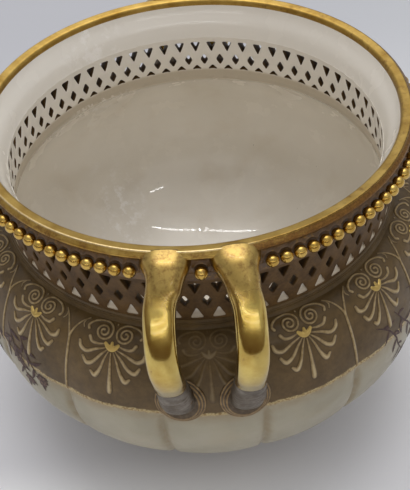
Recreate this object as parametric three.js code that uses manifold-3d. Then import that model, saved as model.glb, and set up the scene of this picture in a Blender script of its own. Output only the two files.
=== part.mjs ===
// Glazed porcelain planter: lobed pot, pierced gallery, gilt rim and beads, two pairs of loop handles.
// Millimetres, +Z up. The origin is on the floor under the pot's middle; the front handles are at -Y.
// A depth is measured down from the top of the rim, and an angle from the front towards +X.

import * as THREE from 'three';
import { mergeVertices } from 'three/addons/utils/BufferGeometryUtils.js';
import Module from 'manifold-3d';

const wasm = await Module();
wasm.setup();

const degrees = THREE.MathUtils.degToRad;
const blend = THREE.MathUtils.lerp;
const ease = THREE.MathUtils.smoothstep;

// Overall sizes
const HEIGHT = 172;
const CLEARANCE = 0.3;
const RING_SEGMENTS = 64;

// Rim band: its section is in shares of its width and of its depth
const MOUTH_RADIUS = 96;
const RIM_WIDTH = 5.5;
const RIM_DEPTH = 3.4;
const RIM_INNER_TAPER = 1;
const RIM_SECTION_SHARES = [
  [0.87, 1],
  [1, 0.65],
  [0.95, 0.25],
  [0.65, 0],
  [0.25, 0],
  [0, 0.2],
];

// Collar between the rim and the gallery
const COLLAR_BOTTOM_DEPTH = 19.2;
const COLLAR_STEP = 1.6;
const COVE_CUT = 1.3;
const COVE_TOP_INSET = 1.3;
const LEDGE_DEPTH = 12.4;
const LEDGE_SLOPE = 1;
const INNER_BEND_OUT = 0.2;
const INNER_BEND_UP = 0.6;

// Beads
const BEAD_RADIUS = 2.45;
const BEAD_NECK_RADIUS = 0.9;
const BEAD_DEPTH = 9.1;
const BEAD_OVERHANG = 1.3;
const BEADS_PER_SIDE = 46;
const BEAD_END_ANGLE = degrees(15.7);
const BEAD_SEAT_SHARE = 0.8;
const BEAD_TURNS = [degrees(-45), 0, degrees(45)];
const BEAD_SIDES = 6;

// Pierced gallery
const GALLERY_COLUMNS = 64;
const GALLERY_TURN = degrees(-2.2);
const GALLERY_SET_IN = 1.2;
const GALLERY_TAPER = 1;
const GALLERY_WALL = 6;
const GALLERY_FOOT_WALL = 3.2;
const TRIANGLE_WIDTH = 5.6;
const TRIANGLE_HEIGHT = 6.4;
const DIAMOND_WIDTH = 4.4;
const DIAMOND_HEIGHT = 7.4;
const TRELLIS_TOP_MARGIN = 2.95;
const TRELLIS_BOTTOM_MARGIN = 1.35;
const TRELLIS_STEP = 0.5;

// Shoulder moulding
const MOULDING_WIDTH = 2.7;
const MOULDING_HEIGHT = 3.3;
const MOULDING_SET_IN = 0.2;
const MOULDING_POINTS = 4;

// Pot: an ellipse of revolution below a rounded shoulder, with lobes
const PANELS = 16;
const SHOULDER_LEDGE = 0.4;
const SHOULDER_ARC_RADIUS = 13.6;
const SHOULDER_STEPS = 2;
const BELLY_OVERHANG = 21.3;
const BELLY_STEPS = 8;
const LOBE_BULGE = 0.8;
const RIB_HALF_ANGLE = degrees(1.4);
const RIB_HEIGHT = 1.1;
const RIB_DROP = 31;
const RIB_FADE = 8;
const GROOVE_CUT = 1.5;
const GROOVE_FADE = 14;
const POT_WALL = 6;
const POT_FLOOR = 6;
const NECK_LENGTH = 3.3;
const INSIDE_STEPS = 6;

// Foot ring
const FOOT_HEIGHT = 8;
const FOOT_RADIUS = 66;
const FOOT_TAPER = 6;
const FOOT_LEDGE = 2.6;
const FOOT_WIDTH = 9;
const FOOT_EDGE_SHARE = 0.3;

// Handles: each point is [out, down, sideways], first from the rim's edge, then from the seat's centre
const LOOP_WIDTH = 12.4;
const LOOP_THICKNESS = 9.6;
const FLANGE_WIDTH = 19;
const FLANGE_HEIGHT = 11;
const FLARE_START = 2;
const FLARE_END = 17;
const PATH_FROM_RIM = [
  [-4.5, 6.2, 13.4],
  [2, 7, 13.9],
  [8, 10, 15.2],
  [13, 15.3, 16.9],
  [17.3, 20.3, 17.4],
  [20.9, 25.2, 17.5],
  [23.7, 30.5, 17.5],
  [25.1, 36.5, 17.1],
];
const PATH_FROM_SEAT = [
  [10.9, -30.5, 2.6],
  [8.5, -24, 2.3],
  [5.9, -17.5, 1.9],
  [3.9, -10.5, 1.4],
  [1.4, -3.5, 0.8],
  [-4.1, 3.5, 0.3],
];
const CUFF_LENGTH = 29;
const CUFF_WIDTH = 14.6;
const CUFF_THICKNESS = 12.4;
const LOOP_STEPS = 12;
const CUFF_STEPS = 4;
const SWEEP_SIDES = 8;

// Handle seats
const SEAT_ANGLE = degrees(6.9);
const SEAT_DISTANCE = 32.9;
const SEAT_RADIUS = 11.4;
const SEAT_RIDGES = 3;
const SEAT_RIDGE_STEP = 1.5;
const SEAT_RIDGE_RISE = 0.9;
const SEAT_RIDGE_SIDE = 0.5;
const SEAT_RIDGE_BEVEL = 0.4;
const SEAT_ROOT = 6;
const SEAT_SIDES = 12;

// Palmettes
const PALMETTE_RELIEF = 1.1;
const PALMETTE_BLANK = 4.4;
const VOLUTE_RADIUS = 4.9;
const VOLUTE_SPACING = 6.6;
const VOLUTE_DISTANCE = 5.8;
const VOLUTE_ARC = [degrees(-60), degrees(130)];
const VOLUTE_POINTS = 4;
const FAN_DISTANCE = 12;
const FAN_LENGTH = 21;
const FAN_SIDE_LENGTH = 15;
const FAN_PETALS = 5;
const FAN_SPREAD = degrees(84);
const FAN_TAPER = 4;
const FAN_NOTCH = 0.6;

// Finishes
const GILT = finish(0xb8923c, 0.32, 0.9);
const SILVER = finish(0x8c8578, 0.38, 0.6);
const BRONZED = finish(0x5f5242, 0.5, 0.15);
const COVE_BROWN = finish(0x4f3a22, 0.45, 0.2);
const RELIEF_BLUSH = finish(0x9a8765, 0.45, 0.2);
const IVORY = finish(0xc9c1ae, 0.25, 0);

function finish(color, roughness, metalness) {
  return new THREE.MeshStandardMaterial({ color, roughness, metalness });
}

// A closed mesh with its shared corners merged and its empty faces left out
function toSolid(geometry) {
  const positions = new THREE.BufferGeometry();
  positions.setAttribute('position', geometry.getAttribute('position').clone());
  positions.setIndex(geometry.index);
  const merged = mergeVertices(positions, 1e-4);
  const corners = merged.index.array;
  const triangles = [];
  for (let i = 0; i < corners.length; i += 3) {
    const [a, b, c] = corners.slice(i, i + 3);
    if (a !== b && b !== c && c !== a) triangles.push(a, b, c);
  }
  return new wasm.Manifold(new wasm.Mesh({
    numProp: 3,
    vertProperties: new Float32Array(merged.getAttribute('position').array),
    triVerts: new Uint32Array(triangles),
  }));
}

function toGeometry(solid) {
  const mesh = solid.getMesh();
  const geometry = new THREE.BufferGeometry();
  geometry.setAttribute('position', new THREE.Float32BufferAttribute(mesh.vertProperties, 3));
  geometry.setIndex(Array.from(mesh.triVerts));
  return geometry;
}

function fromTriangles(points, triangles) {
  const geometry = new THREE.BufferGeometry();
  geometry.setAttribute('position', new THREE.Float32BufferAttribute(points.flat(), 3));
  geometry.setIndex(triangles.flat());
  return geometry;
}

function onRing(radius, depth, angle) {
  return [radius * Math.sin(angle), -radius * Math.cos(angle), HEIGHT - depth];
}

// A turned shape from [radius, depth] points, listed up the outside and down the inside
function turned(profile, segments = RING_SEGMENTS) {
  const points = profile.map(([radius, depth]) => new THREE.Vector2(radius, HEIGHT - depth));
  if (points[0].x > 0) points.push(points[0].clone());
  return new THREE.LatheGeometry(points, segments).rotateX(Math.PI / 2);
}

const group = new THREE.Group();

function addPart(name, solid, material) {
  const mesh = new THREE.Mesh(toGeometry(solid), material);
  mesh.name = name;
  group.add(mesh);
}

// Rim band

const rimInner = MOUTH_RADIUS - RIM_INNER_TAPER;
const rimOuter = MOUTH_RADIUS + RIM_WIDTH;
const rimSection = RIM_SECTION_SHARES.map(([out, down]) => [
  MOUTH_RADIUS + out * RIM_WIDTH,
  down * RIM_DEPTH,
]);
addPart('rim_band', toSolid(turned([...rimSection, [rimInner, RIM_DEPTH]])), GILT);

// Collar: coved at the top, upright where the beads sit, and stepped in to the gallery

const collarTop = RIM_DEPTH + CLEARANCE;
const beadRingRadius = rimOuter + BEAD_OVERHANG;
const beadSeatRadius = beadRingRadius - BEAD_RADIUS - CLEARANCE;
const galleryTopRadius = MOUTH_RADIUS - GALLERY_SET_IN;
const collarFootRadius = galleryTopRadius + COLLAR_STEP;
const coveMiddle = blend(collarTop, BEAD_DEPTH - BEAD_RADIUS, 0.5);
const beadSeatHalf = BEAD_SEAT_SHARE * BEAD_RADIUS;
const galleryInnerTop = galleryTopRadius - GALLERY_WALL;
const collarOutside = [
  [collarFootRadius, COLLAR_BOTTOM_DEPTH],
  [collarFootRadius, LEDGE_DEPTH + LEDGE_SLOPE],
  [beadSeatRadius - COVE_CUT, LEDGE_DEPTH],
  [beadSeatRadius, BEAD_DEPTH + beadSeatHalf],
  [beadSeatRadius, BEAD_DEPTH - beadSeatHalf],
  [beadSeatRadius - COVE_CUT, coveMiddle],
  [rimOuter - COVE_TOP_INSET, collarTop],
];
const collarInside = [
  [rimInner, collarTop],
  [
    blend(galleryInnerTop, rimInner, INNER_BEND_OUT),
    blend(COLLAR_BOTTOM_DEPTH, collarTop, INNER_BEND_UP),
  ],
  [galleryInnerTop, COLLAR_BOTTOM_DEPTH],
];
addPart('rim_collar', toSolid(turned([...collarOutside, ...collarInside])), COVE_BROWN);

// Beads: a string of beads with short necks between them

function beadString(startAngle, endAngle, beads) {
  const pitch = beads > 1 ? (endAngle - startAngle) / (beads - 1) : 0;
  const half = BEAD_RADIUS / beadRingRadius;
  const stations = [[startAngle - half, 0]];
  for (let bead = 0; bead < beads; bead += 1) {
    const middle = startAngle + bead * pitch;
    BEAD_TURNS.forEach((turn) => {
      stations.push([middle + half * Math.sin(turn), BEAD_RADIUS * Math.cos(turn)]);
    });
    if (bead < beads - 1) stations.push([middle + 0.5 * pitch, BEAD_NECK_RADIUS]);
  }
  stations.push([endAngle + half, 0]);
  return sweptSolid(stations.map(([angle, radius]) => ({
    centre: new THREE.Vector3(...onRing(beadRingRadius, BEAD_DEPTH, angle)),
    side: new THREE.Vector3(Math.sin(angle), -Math.cos(angle), 0).multiplyScalar(radius),
    up: new THREE.Vector3(0, 0, -radius),
  })), BEAD_SIDES);
}

// A closed solid through oval sections: each has a centre and two half axes, and side x up runs onward
function sweptSolid(sections, sides) {
  const points = [];
  const triangles = [];
  sections.forEach(({ centre, side, up }) => {
    for (let i = 0; i < sides; i += 1) {
      const turn = (2 * Math.PI * i) / sides;
      const point = centre.clone().addScaledVector(side, Math.cos(turn));
      points.push(point.addScaledVector(up, Math.sin(turn)).toArray());
    }
  });
  for (let row = 0; row < sections.length - 1; row += 1) {
    for (let i = 0; i < sides; i += 1) {
      const next = (i + 1) % sides;
      const [a, b] = [row * sides + i, row * sides + next];
      triangles.push([a, b, b + sides], [a, b + sides, a + sides]);
    }
  }
  const last = (sections.length - 1) * sides;
  for (let i = 1; i < sides - 1; i += 1) {
    triangles.push([0, i + 1, i], [last, last + i, last + i + 1]);
  }
  return toSolid(fromTriangles(points, triangles));
}

const rightSpan = [BEAD_END_ANGLE, Math.PI - BEAD_END_ANGLE];
const leftSpan = rightSpan.map((angle) => angle + Math.PI);
addPart('bead_row_right', beadString(...rightSpan, BEADS_PER_SIDE), GILT);
addPart('bead_row_left', beadString(...leftSpan, BEADS_PER_SIDE), GILT);
addPart('bead_front_centre', beadString(0, 0, 1), GILT);
addPart('bead_rear_centre', beadString(Math.PI, Math.PI, 1), GILT);

// Pierced gallery: each column has a triangle above, one below, and half a diamond at each side

const galleryTop = COLLAR_BOTTOM_DEPTH + CLEARANCE;
const upperBase = galleryTop + TRELLIS_TOP_MARGIN;
const upperTip = upperBase + TRIANGLE_HEIGHT;
const diamondTop = upperTip + TRELLIS_STEP;
const diamondBottom = diamondTop + DIAMOND_HEIGHT;
const diamondMiddle = (diamondTop + diamondBottom) / 2;
const lowerTip = diamondBottom + TRELLIS_STEP;
const lowerBase = lowerTip + TRIANGLE_HEIGHT;
const galleryBottom = lowerBase + TRELLIS_BOTTOM_MARGIN;
const galleryBottomRadius = galleryTopRadius - GALLERY_TAPER;
const halfColumn = Math.PI / GALLERY_COLUMNS;

function galleryCell() {
  const halfTriangle = TRIANGLE_WIDTH / 2 / galleryTopRadius;
  const halfDiamond = DIAMOND_WIDTH / 2 / galleryTopRadius;
  const outline = [
    [-halfColumn, galleryTop],
    [-halfColumn, diamondTop],
    [halfDiamond - halfColumn, diamondMiddle],
    [-halfColumn, diamondBottom],
    [-halfColumn, galleryBottom],
    [halfColumn, galleryBottom],
    [halfColumn, diamondBottom],
    [halfColumn - halfDiamond, diamondMiddle],
    [halfColumn, diamondTop],
    [halfColumn, galleryTop],
  ];
  const upper = [[0, upperTip], [-halfTriangle, upperBase], [halfTriangle, upperBase]];
  const lower = [[0, lowerTip], [halfTriangle, lowerBase], [-halfTriangle, lowerBase]];
  return [outline, upper, lower];
}

function galleryRadius(depth) {
  const share = (depth - galleryTop) / (galleryBottom - galleryTop);
  return blend(galleryTopRadius, galleryBottomRadius, share);
}

// The wall keeps its thickness down to the tips of the lower triangles and then thins towards its foot
function galleryWall(depth) {
  const share = Math.max(0, (depth - lowerTip) / (galleryBottom - lowerTip));
  return blend(GALLERY_WALL, GALLERY_FOOT_WALL, share);
}

function piercedGallery() {
  const loops = galleryCell();
  const vectors = loops.map((loop) => loop.map(([turn, depth]) => new THREE.Vector2(turn, -depth)));
  const faces = THREE.ShapeUtils.triangulateShape(vectors[0], vectors.slice(1));
  const cell = loops.flat();
  const points = [];
  const triangles = [];
  for (let column = 0; column < GALLERY_COLUMNS; column += 1) {
    const middle = GALLERY_TURN + column * 2 * halfColumn;
    const first = points.length;
    const inner = first + cell.length;
    [0, 1].forEach((inside) => cell.forEach(([turn, depth]) => {
      const radius = galleryRadius(depth) - inside * galleryWall(depth);
      points.push(onRing(radius, depth, middle + turn));
    }));
    faces.forEach(([a, b, c]) => triangles.push(
      [first + a, first + b, first + c], [inner + a, inner + c, inner + b]));
    let start = 0;
    loops.forEach((loop) => {
      loop.forEach(([turn], i) => {
        const next = (i + 1) % loop.length;
        const onBorder = Math.abs(turn) === halfColumn && loop[next][0] === turn;
        if (onBorder) return;
        const [a, b] = [start + i, start + next];
        triangles.push([first + b, first + a, inner + a], [first + b, inner + a, inner + b]);
      });
      start += loop.length;
    });
  }
  return toSolid(fromTriangles(points, triangles));
}

addPart('pierced_gallery', piercedGallery(), BRONZED);

// Pot: an arc for the shoulder runs on into an ellipse for the belly, which ends at the foot

const mouldingInner = galleryBottomRadius - MOULDING_SET_IN;
const mouldingTop = galleryBottom + CLEARANCE;
const mouldingBottom = mouldingTop + MOULDING_HEIGHT;
const shoulderTop = mouldingBottom + CLEARANCE;
const shoulderTopRadius = mouldingInner + MOULDING_WIDTH + SHOULDER_LEDGE;
const bellyRadius = shoulderTopRadius + BELLY_OVERHANG;
const potBottom = HEIGHT - FOOT_HEIGHT;
const footNeckRadius = FOOT_RADIUS - FOOT_TAPER;
const bellyEnd = -Math.acos((footNeckRadius + FOOT_LEDGE) / bellyRadius);

// The ellipse that the arc meets with one common normal, and the depth that its lower end then has
function bellyFor(normal) {
  const radius = shoulderTopRadius + SHOULDER_ARC_RADIUS * Math.cos(normal);
  const start = Math.acos(radius / bellyRadius);
  const halfHeight = (bellyRadius * Math.tan(start)) / Math.tan(normal);
  const jointDepth = shoulderTop + SHOULDER_ARC_RADIUS * (1 - Math.sin(normal));
  const middle = jointDepth + halfHeight * Math.sin(start);
  return { start, halfHeight, jointDepth, middle, end: middle - halfHeight * Math.sin(bellyEnd) };
}

// The arc's normal where it meets the ellipse, found by halving: a steeper joint makes a lower belly
function jointNormal() {
  let [low, high] = [0, Math.PI / 2];
  for (let halving = 0; halving < 50; halving += 1) {
    const middle = (low + high) / 2;
    if (bellyFor(middle).end > potBottom) low = middle;
    else high = middle;
  }
  return high;
}

const arcNormal = jointNormal();
const belly = bellyFor(arcNormal);
const arcLength = SHOULDER_ARC_RADIUS * (Math.PI / 2 - arcNormal);

// A point of the belly, with its normal as an angle above the horizontal
function bellyPoint(turn) {
  return {
    radius: bellyRadius * Math.cos(turn),
    depth: belly.middle - belly.halfHeight * Math.sin(turn),
    normal: Math.atan2(Math.sin(turn) / belly.halfHeight, Math.cos(turn) / bellyRadius),
  };
}

// A point of the pot's outside at a distance down the surface from the top of the shoulder
function outsidePoint(distance) {
  if (distance > arcLength) {
    return bellyPoint(belly.start - (distance - arcLength) / belly.halfHeight);
  }
  const swing = distance / SHOULDER_ARC_RADIUS;
  return {
    radius: shoulderTopRadius + SHOULDER_ARC_RADIUS * Math.sin(swing),
    depth: shoulderTop + SHOULDER_ARC_RADIUS * (1 - Math.cos(swing)),
    normal: Math.PI / 2 - swing,
  };
}

function lifted({ radius, depth, normal }, offset) {
  return [radius + offset * Math.cos(normal), depth - offset * Math.sin(normal)];
}

// The pot's outside from the top of the shoulder down to the foot, moved out by an offset
function outsideProfile(offset) {
  const shoulder = Array.from({ length: SHOULDER_STEPS },
    (_, i) => outsidePoint((arcLength * i) / SHOULDER_STEPS));
  const below = Array.from({ length: BELLY_STEPS + 1 },
    (_, i) => bellyPoint(blend(belly.start, bellyEnd, i / BELLY_STEPS)));
  return [...shoulder, ...below].map((point) => lifted(point, offset));
}

// Ribs stand proud on the shoulder and turn into grooves below the widest part
function lobeShift(fromRib, depth) {
  const panelHalf = Math.PI / PANELS;
  const nearShoulder = ease(depth, shoulderTop, belly.jointDepth);
  const nearFoot = 1 - ease(depth, potBottom - GROOVE_FADE, potBottom);
  const ribEnd = shoulderTop + RIB_DROP;
  const belowRib = ease(depth, ribEnd, ribEnd + RIB_FADE);
  const bulge = -LOBE_BULGE * (1 - fromRib / panelHalf) ** 2 * nearShoulder * nearFoot;
  const atRib = fromRib === 0 ? 1 : 0;
  const rib = RIB_HEIGHT * nearShoulder * (1 - belowRib);
  const groove = GROOVE_CUT * belowRib * nearFoot;
  return bulge + atRib * (rib - groove);
}

// Column angles: the rib, its two flanks and the middle of each panel
function columnAngles() {
  const panel = (2 * Math.PI) / PANELS;
  const steps = [0, RIB_HALF_ANGLE, panel / 2, panel - RIB_HALF_ANGLE];
  return Array.from({ length: PANELS }, (_, i) => steps.map((step) => ({
    angle: (i - 0.5) * panel + step,
    fromRib: Math.min(step, panel - step),
  }))).flat();
}

// A turned solid that is lobed on its outside, which is the given count of rows after the first
function lobed(profile, outsideRows) {
  const columns = columnAngles();
  const geometry = turned(profile, columns.length);
  const position = geometry.getAttribute('position');
  for (let i = 0; i < position.count; i += 1) {
    const { angle, fromRib } = columns[Math.floor(i / profile.length) % columns.length];
    const row = i % profile.length;
    const [radius, depth] = profile[row];
    const shift = row > 0 && row <= outsideRows ? lobeShift(fromRib, depth) : 0;
    position.setXYZ(i, ...onRing(radius + shift, depth, angle));
  }
  return toSolid(geometry);
}

// Everything inside the pot's outside face moved out by an offset, as a full body
function potEnvelope(offset) {
  const outside = outsideProfile(offset).reverse();
  const bottom = outside[0][1];
  const top = outside[outside.length - 1][1];
  return lobed([[0, bottom], ...outside, [0, top]], outside.length);
}

// The inside has the belly's middle in common with the outside: above it the wall draws in to the neck
function insideProfile(neckInner, neckBottom) {
  const insideRadius = bellyRadius - POT_WALL;
  const start = Math.acos(neckInner / insideRadius);
  const upperHalfHeight = (belly.middle - neckBottom) / Math.sin(start);
  const lowerHalfHeight = potBottom - POT_FLOOR - belly.middle;
  return Array.from({ length: INSIDE_STEPS + 1 }, (_, i) => {
    const turn = blend(start, -Math.PI / 2, i / INSIDE_STEPS);
    const radius = i < INSIDE_STEPS ? insideRadius * Math.cos(turn) : 0;
    const halfHeight = turn > 0 ? upperHalfHeight : lowerHalfHeight;
    return [radius, belly.middle - halfHeight * Math.sin(turn)];
  });
}

function pot() {
  const outside = outsideProfile(0).reverse();
  const neckRadius = mouldingInner - CLEARANCE;
  const neckInner = galleryBottomRadius - GALLERY_FOOT_WALL;
  const neckTop = galleryBottom + CLEARANCE;
  const neck = [[neckRadius, shoulderTop], [neckRadius, neckTop], [neckInner, neckTop]];
  const inside = insideProfile(neckInner, neckTop + NECK_LENGTH);
  return lobed([[0, potBottom], ...outside, ...neck, ...inside], outside.length);
}

addPart('pot_bowl', pot(), IVORY);

// Shoulder moulding: a half-round cord in the step between the gallery and the shoulder

const mouldingRound = MOULDING_WIDTH / 2;
const mouldingOutside = Array.from({ length: MOULDING_POINTS }, (_, i) => {
  const turn = blend(-Math.PI / 2, Math.PI / 2, i / (MOULDING_POINTS - 1));
  return [
    mouldingInner + mouldingRound + mouldingRound * Math.cos(turn),
    blend(mouldingTop, mouldingBottom, 0.5 - 0.5 * Math.sin(turn)),
  ];
});
const mouldingInside = [[mouldingInner, mouldingTop], [mouldingInner, mouldingBottom]];
addPart('shoulder_moulding', toSolid(turned([...mouldingOutside, ...mouldingInside])), BRONZED);

// Foot ring

const footTop = potBottom + CLEARANCE;
const footProfile = [
  [FOOT_RADIUS, HEIGHT],
  [FOOT_RADIUS, HEIGHT - FOOT_EDGE_SHARE * FOOT_HEIGHT],
  [footNeckRadius, footTop],
  [footNeckRadius - FOOT_WIDTH, footTop],
  [FOOT_RADIUS - FOOT_WIDTH, HEIGHT],
];
addPart('foot_ring', toSolid(turned(footProfile)), IVORY);

// Handles

// Everything that a handle's flange has to clear: the rim and the collar, as one full body
function neckEnvelope(offset) {
  const profile = [
    [0, COLLAR_BOTTOM_DEPTH + offset],
    [collarFootRadius + offset, COLLAR_BOTTOM_DEPTH + offset],
    ...collarOutside.slice(1, 5).map(([radius, depth]) => [radius + offset, depth]),
    [rimOuter + offset, coveMiddle],
    [rimOuter + offset, -BEAD_RADIUS],
    [0, -BEAD_RADIUS],
  ];
  return toSolid(turned(profile));
}

const seatPoint = outsidePoint(SEAT_DISTANCE);
const seatCentre = onRing(seatPoint.radius, seatPoint.depth, SEAT_ANGLE);
const placed = (points, [x, y, z]) => points.map(
  ([out, down, sideways]) => new THREE.Vector3(x + sideways, y - out, z - down));
const handleLine = new THREE.CatmullRomCurve3([
  ...placed(PATH_FROM_RIM, [0, -rimOuter, HEIGHT]),
  ...placed(PATH_FROM_SEAT, seatCentre),
]);
const handleLength = handleLine.getLength();
const cuffStart = handleLength - CUFF_LENGTH;

// Part of the handle between two distances along its centre line: its sections are ovals
function handlePiece(start, end, steps, widthAt, thicknessAt) {
  const sections = Array.from({ length: steps + 1 }, (_, i) => {
    const distance = blend(start, end, i / steps);
    const along = handleLine.getTangentAt(distance / handleLength);
    const side = new THREE.Vector3(1, 0, 0).addScaledVector(along, -along.x).normalize();
    return {
      centre: handleLine.getPointAt(distance / handleLength),
      side: side.clone().multiplyScalar(widthAt(distance) / 2),
      up: along.clone().cross(side).multiplyScalar(thicknessAt(distance) / 2),
    };
  });
  return sweptSolid(sections, SWEEP_SIDES);
}

function handleLoop() {
  const narrowed = (distance) => ease(distance, FLARE_START, FLARE_END);
  const widthAt = (distance) => blend(FLANGE_WIDTH, LOOP_WIDTH, narrowed(distance));
  const thicknessAt = (distance) => blend(FLANGE_HEIGHT, LOOP_THICKNESS, narrowed(distance));
  return handlePiece(0, cuffStart - CLEARANCE, LOOP_STEPS, widthAt, thicknessAt);
}

// The ridged seat is turned about the pot's own normal at its place
function handleSeat(offset) {
  const steps = [[0, -SEAT_ROOT], [SEAT_RADIUS + offset, -SEAT_ROOT]];
  for (let ridge = 0; ridge < SEAT_RIDGES; ridge += 1) {
    const radius = SEAT_RADIUS - ridge * SEAT_RIDGE_STEP + offset;
    const rise = (ridge + 1) * SEAT_RIDGE_RISE + offset;
    steps.push([radius, rise - SEAT_RIDGE_SIDE * SEAT_RIDGE_RISE]);
    steps.push([radius - SEAT_RIDGE_BEVEL * SEAT_RIDGE_STEP, rise]);
  }
  steps.push([0, SEAT_RIDGES * SEAT_RIDGE_RISE + offset]);
  const geometry = new THREE.LatheGeometry(steps.map(([x, y]) => new THREE.Vector2(x, y)), SEAT_SIDES);
  geometry.rotateX(Math.PI - seatPoint.normal);
  geometry.translate(0, -seatPoint.radius, HEIGHT - seatPoint.depth);
  geometry.rotateZ(SEAT_ANGLE);
  return toSolid(geometry);
}

function handleCuff() {
  const widened = (distance) => (distance - cuffStart) / CUFF_LENGTH;
  const widthAt = (distance) => blend(LOOP_WIDTH, CUFF_WIDTH, widened(distance));
  const thicknessAt = (distance) => blend(LOOP_THICKNESS, CUFF_THICKNESS, widened(distance));
  return handlePiece(cuffStart, handleLength, CUFF_STEPS, widthAt, thicknessAt);
}

// Both handles of a pair are cut where they meet the pot; the rear pair is the front pair turned round
const envelope = potEnvelope(CLEARANCE);
const neckRoom = neckEnvelope(CLEARANCE);
const mirrored = (solid, side) => (side === 'left' ? solid.mirror([1, 0, 0]) : solid);
const turns = { front: 0, rear: 180 };
['right', 'left'].forEach((side) => {
  const loop = mirrored(handleLoop(), side).subtract(neckRoom);
  const seat = mirrored(handleSeat(0), side).subtract(envelope);
  const seatRoom = mirrored(handleSeat(CLEARANCE), side).add(envelope);
  const cuff = mirrored(handleCuff(), side).subtract(seatRoom);
  Object.entries(turns).forEach(([end, turn]) => {
    addPart(`handle_loop_${end}_${side}`, loop.rotate([0, 0, turn]), GILT);
    addPart(`handle_cuff_${end}_${side}`, cuff.rotate([0, 0, turn]), SILVER);
    addPart(`handle_seat_${end}_${side}`, seat.rotate([0, 0, turn]), SILVER);
  });
});

// Palmettes: two volutes above a drooping fan, as one thin relief that follows the lobed surface

function palmetteOutline() {
  const right = [];
  for (let i = 0; i < VOLUTE_POINTS; i += 1) {
    const turn = blend(...VOLUTE_ARC, i / (VOLUTE_POINTS - 1));
    right.push([
      VOLUTE_SPACING + VOLUTE_RADIUS * Math.sin(turn),
      VOLUTE_DISTANCE - VOLUTE_RADIUS * Math.cos(turn),
    ]);
  }
  const petals = [];
  const points = 2 * FAN_PETALS - 1;
  for (let i = 0; i < points; i += 1) {
    const turn = blend(FAN_SPREAD, -FAN_SPREAD, i / (points - 1));
    const petal = blend(FAN_SIDE_LENGTH, FAN_LENGTH, Math.cos(turn) ** FAN_TAPER);
    const reach = petal * (i % 2 === 0 ? 1 : FAN_NOTCH);
    petals.push([reach * Math.sin(turn), FAN_DISTANCE + reach * Math.cos(turn)]);
  }
  const left = right.map(([across, down]) => [-across, down]).reverse();
  return [...right, ...petals, ...left].reverse();
}

function palmetteBlank() {
  const outline = palmetteOutline();
  const flat = outline.map(([across, down]) => new THREE.Vector2(across, -down));
  const faces = THREE.ShapeUtils.triangulateShape(flat, []);
  const points = [];
  [PALMETTE_BLANK, -PALMETTE_BLANK].forEach((offset) => outline.forEach(([across, down]) => {
    const surface = outsidePoint(down);
    const [radius, depth] = lifted(surface, offset);
    points.push(onRing(radius, depth, across / surface.radius));
  }));
  const count = outline.length;
  const triangles = faces.flatMap(([a, b, c]) => [[a, b, c], [count + a, count + c, count + b]]);
  for (let i = 0; i < count; i += 1) {
    const next = (i + 1) % count;
    triangles.push([next, i, count + i], [next, count + i, count + next]);
  }
  return toSolid(fromTriangles(points, triangles));
}

const reliefSkin = potEnvelope(CLEARANCE + PALMETTE_RELIEF);
const palmette = palmetteBlank().intersect(reliefSkin).subtract(envelope);
const seatGap = handleSeat(CLEARANCE);
const trimmedPalmette = palmette.subtract(seatGap).subtract(mirrored(seatGap, 'left'));
for (let panel = 0; panel < PANELS; panel += 1) {
  const place = String(panel + 1).padStart(2, '0');
  const relief = panel % (PANELS / 2) === 0 ? trimmedPalmette : palmette;
  addPart(`palmette_${place}`, relief.rotate([0, 0, (360 * panel) / PANELS]), RELIEF_BLUSH);
}

export default group;
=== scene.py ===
"""Looks of the ceramic planter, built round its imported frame.

The pot's sizes are millimetres, which put_mesh turns into Blender's metres. The floor, the lights, the camera
and the places along an axis in a material are in metres. The origin is on the floor under the pot's middle,
the front handles are at -Y and +Z is up. A depth is measured down from the top of the rim, and an angle from
the front towards +X. On the pot's outside, down is a distance from the top of the shoulder and across is a
distance sideways from the middle of a panel.
"""

import math
import random

import bmesh
import bpy
import numpy as np
from mathutils import Matrix, Vector, noise
from mathutils.geometry import tessellate_polygon


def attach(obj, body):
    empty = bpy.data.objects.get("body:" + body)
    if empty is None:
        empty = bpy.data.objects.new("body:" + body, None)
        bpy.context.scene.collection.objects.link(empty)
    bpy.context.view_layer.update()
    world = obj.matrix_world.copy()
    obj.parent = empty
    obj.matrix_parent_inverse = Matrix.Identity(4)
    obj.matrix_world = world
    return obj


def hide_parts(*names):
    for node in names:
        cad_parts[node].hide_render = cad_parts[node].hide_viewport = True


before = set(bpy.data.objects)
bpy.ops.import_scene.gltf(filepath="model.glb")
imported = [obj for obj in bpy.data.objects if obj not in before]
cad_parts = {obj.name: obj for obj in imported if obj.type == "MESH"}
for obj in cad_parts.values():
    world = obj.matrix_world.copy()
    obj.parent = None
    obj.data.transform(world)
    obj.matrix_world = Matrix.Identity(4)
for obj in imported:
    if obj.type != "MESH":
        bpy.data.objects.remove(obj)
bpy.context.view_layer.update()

MM = 0.001

# Sizes shared with the solids
HEIGHT = 172
GAP = 0.3
MOUTH_RADIUS = 96
RIM_INNER = MOUTH_RADIUS - 1
RIM_OUTER = MOUTH_RADIUS + 5.5
RIM_UNDERSIDE = 3.75
BEAD_RING_RADIUS = RIM_OUTER + 1.3
BEAD_SEAT_RADIUS = BEAD_RING_RADIUS - 2.75
BEAD_RADIUS = 2.72
BEAD_DEPTH = 8.95
BEADS_PER_SIDE = 46
BEAD_END_ANGLE = math.radians(15.7)
COLLAR_BOTTOM = 19.2
LEDGE_DEPTH = 12.4
GALLERY_COLUMNS = 64
GALLERY_TURN = math.radians(-2.2)
GALLERY_TOP = COLLAR_BOTTOM + GAP
TRELLIS_RADIUS = MOUTH_RADIUS - 1.2
COLLAR_FOOT_RADIUS = TRELLIS_RADIUS + 1.6
GALLERY_TOP_RADIUS = TRELLIS_RADIUS + 0.8
GALLERY_BOTTOM_RADIUS = GALLERY_TOP_RADIUS - 1
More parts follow.
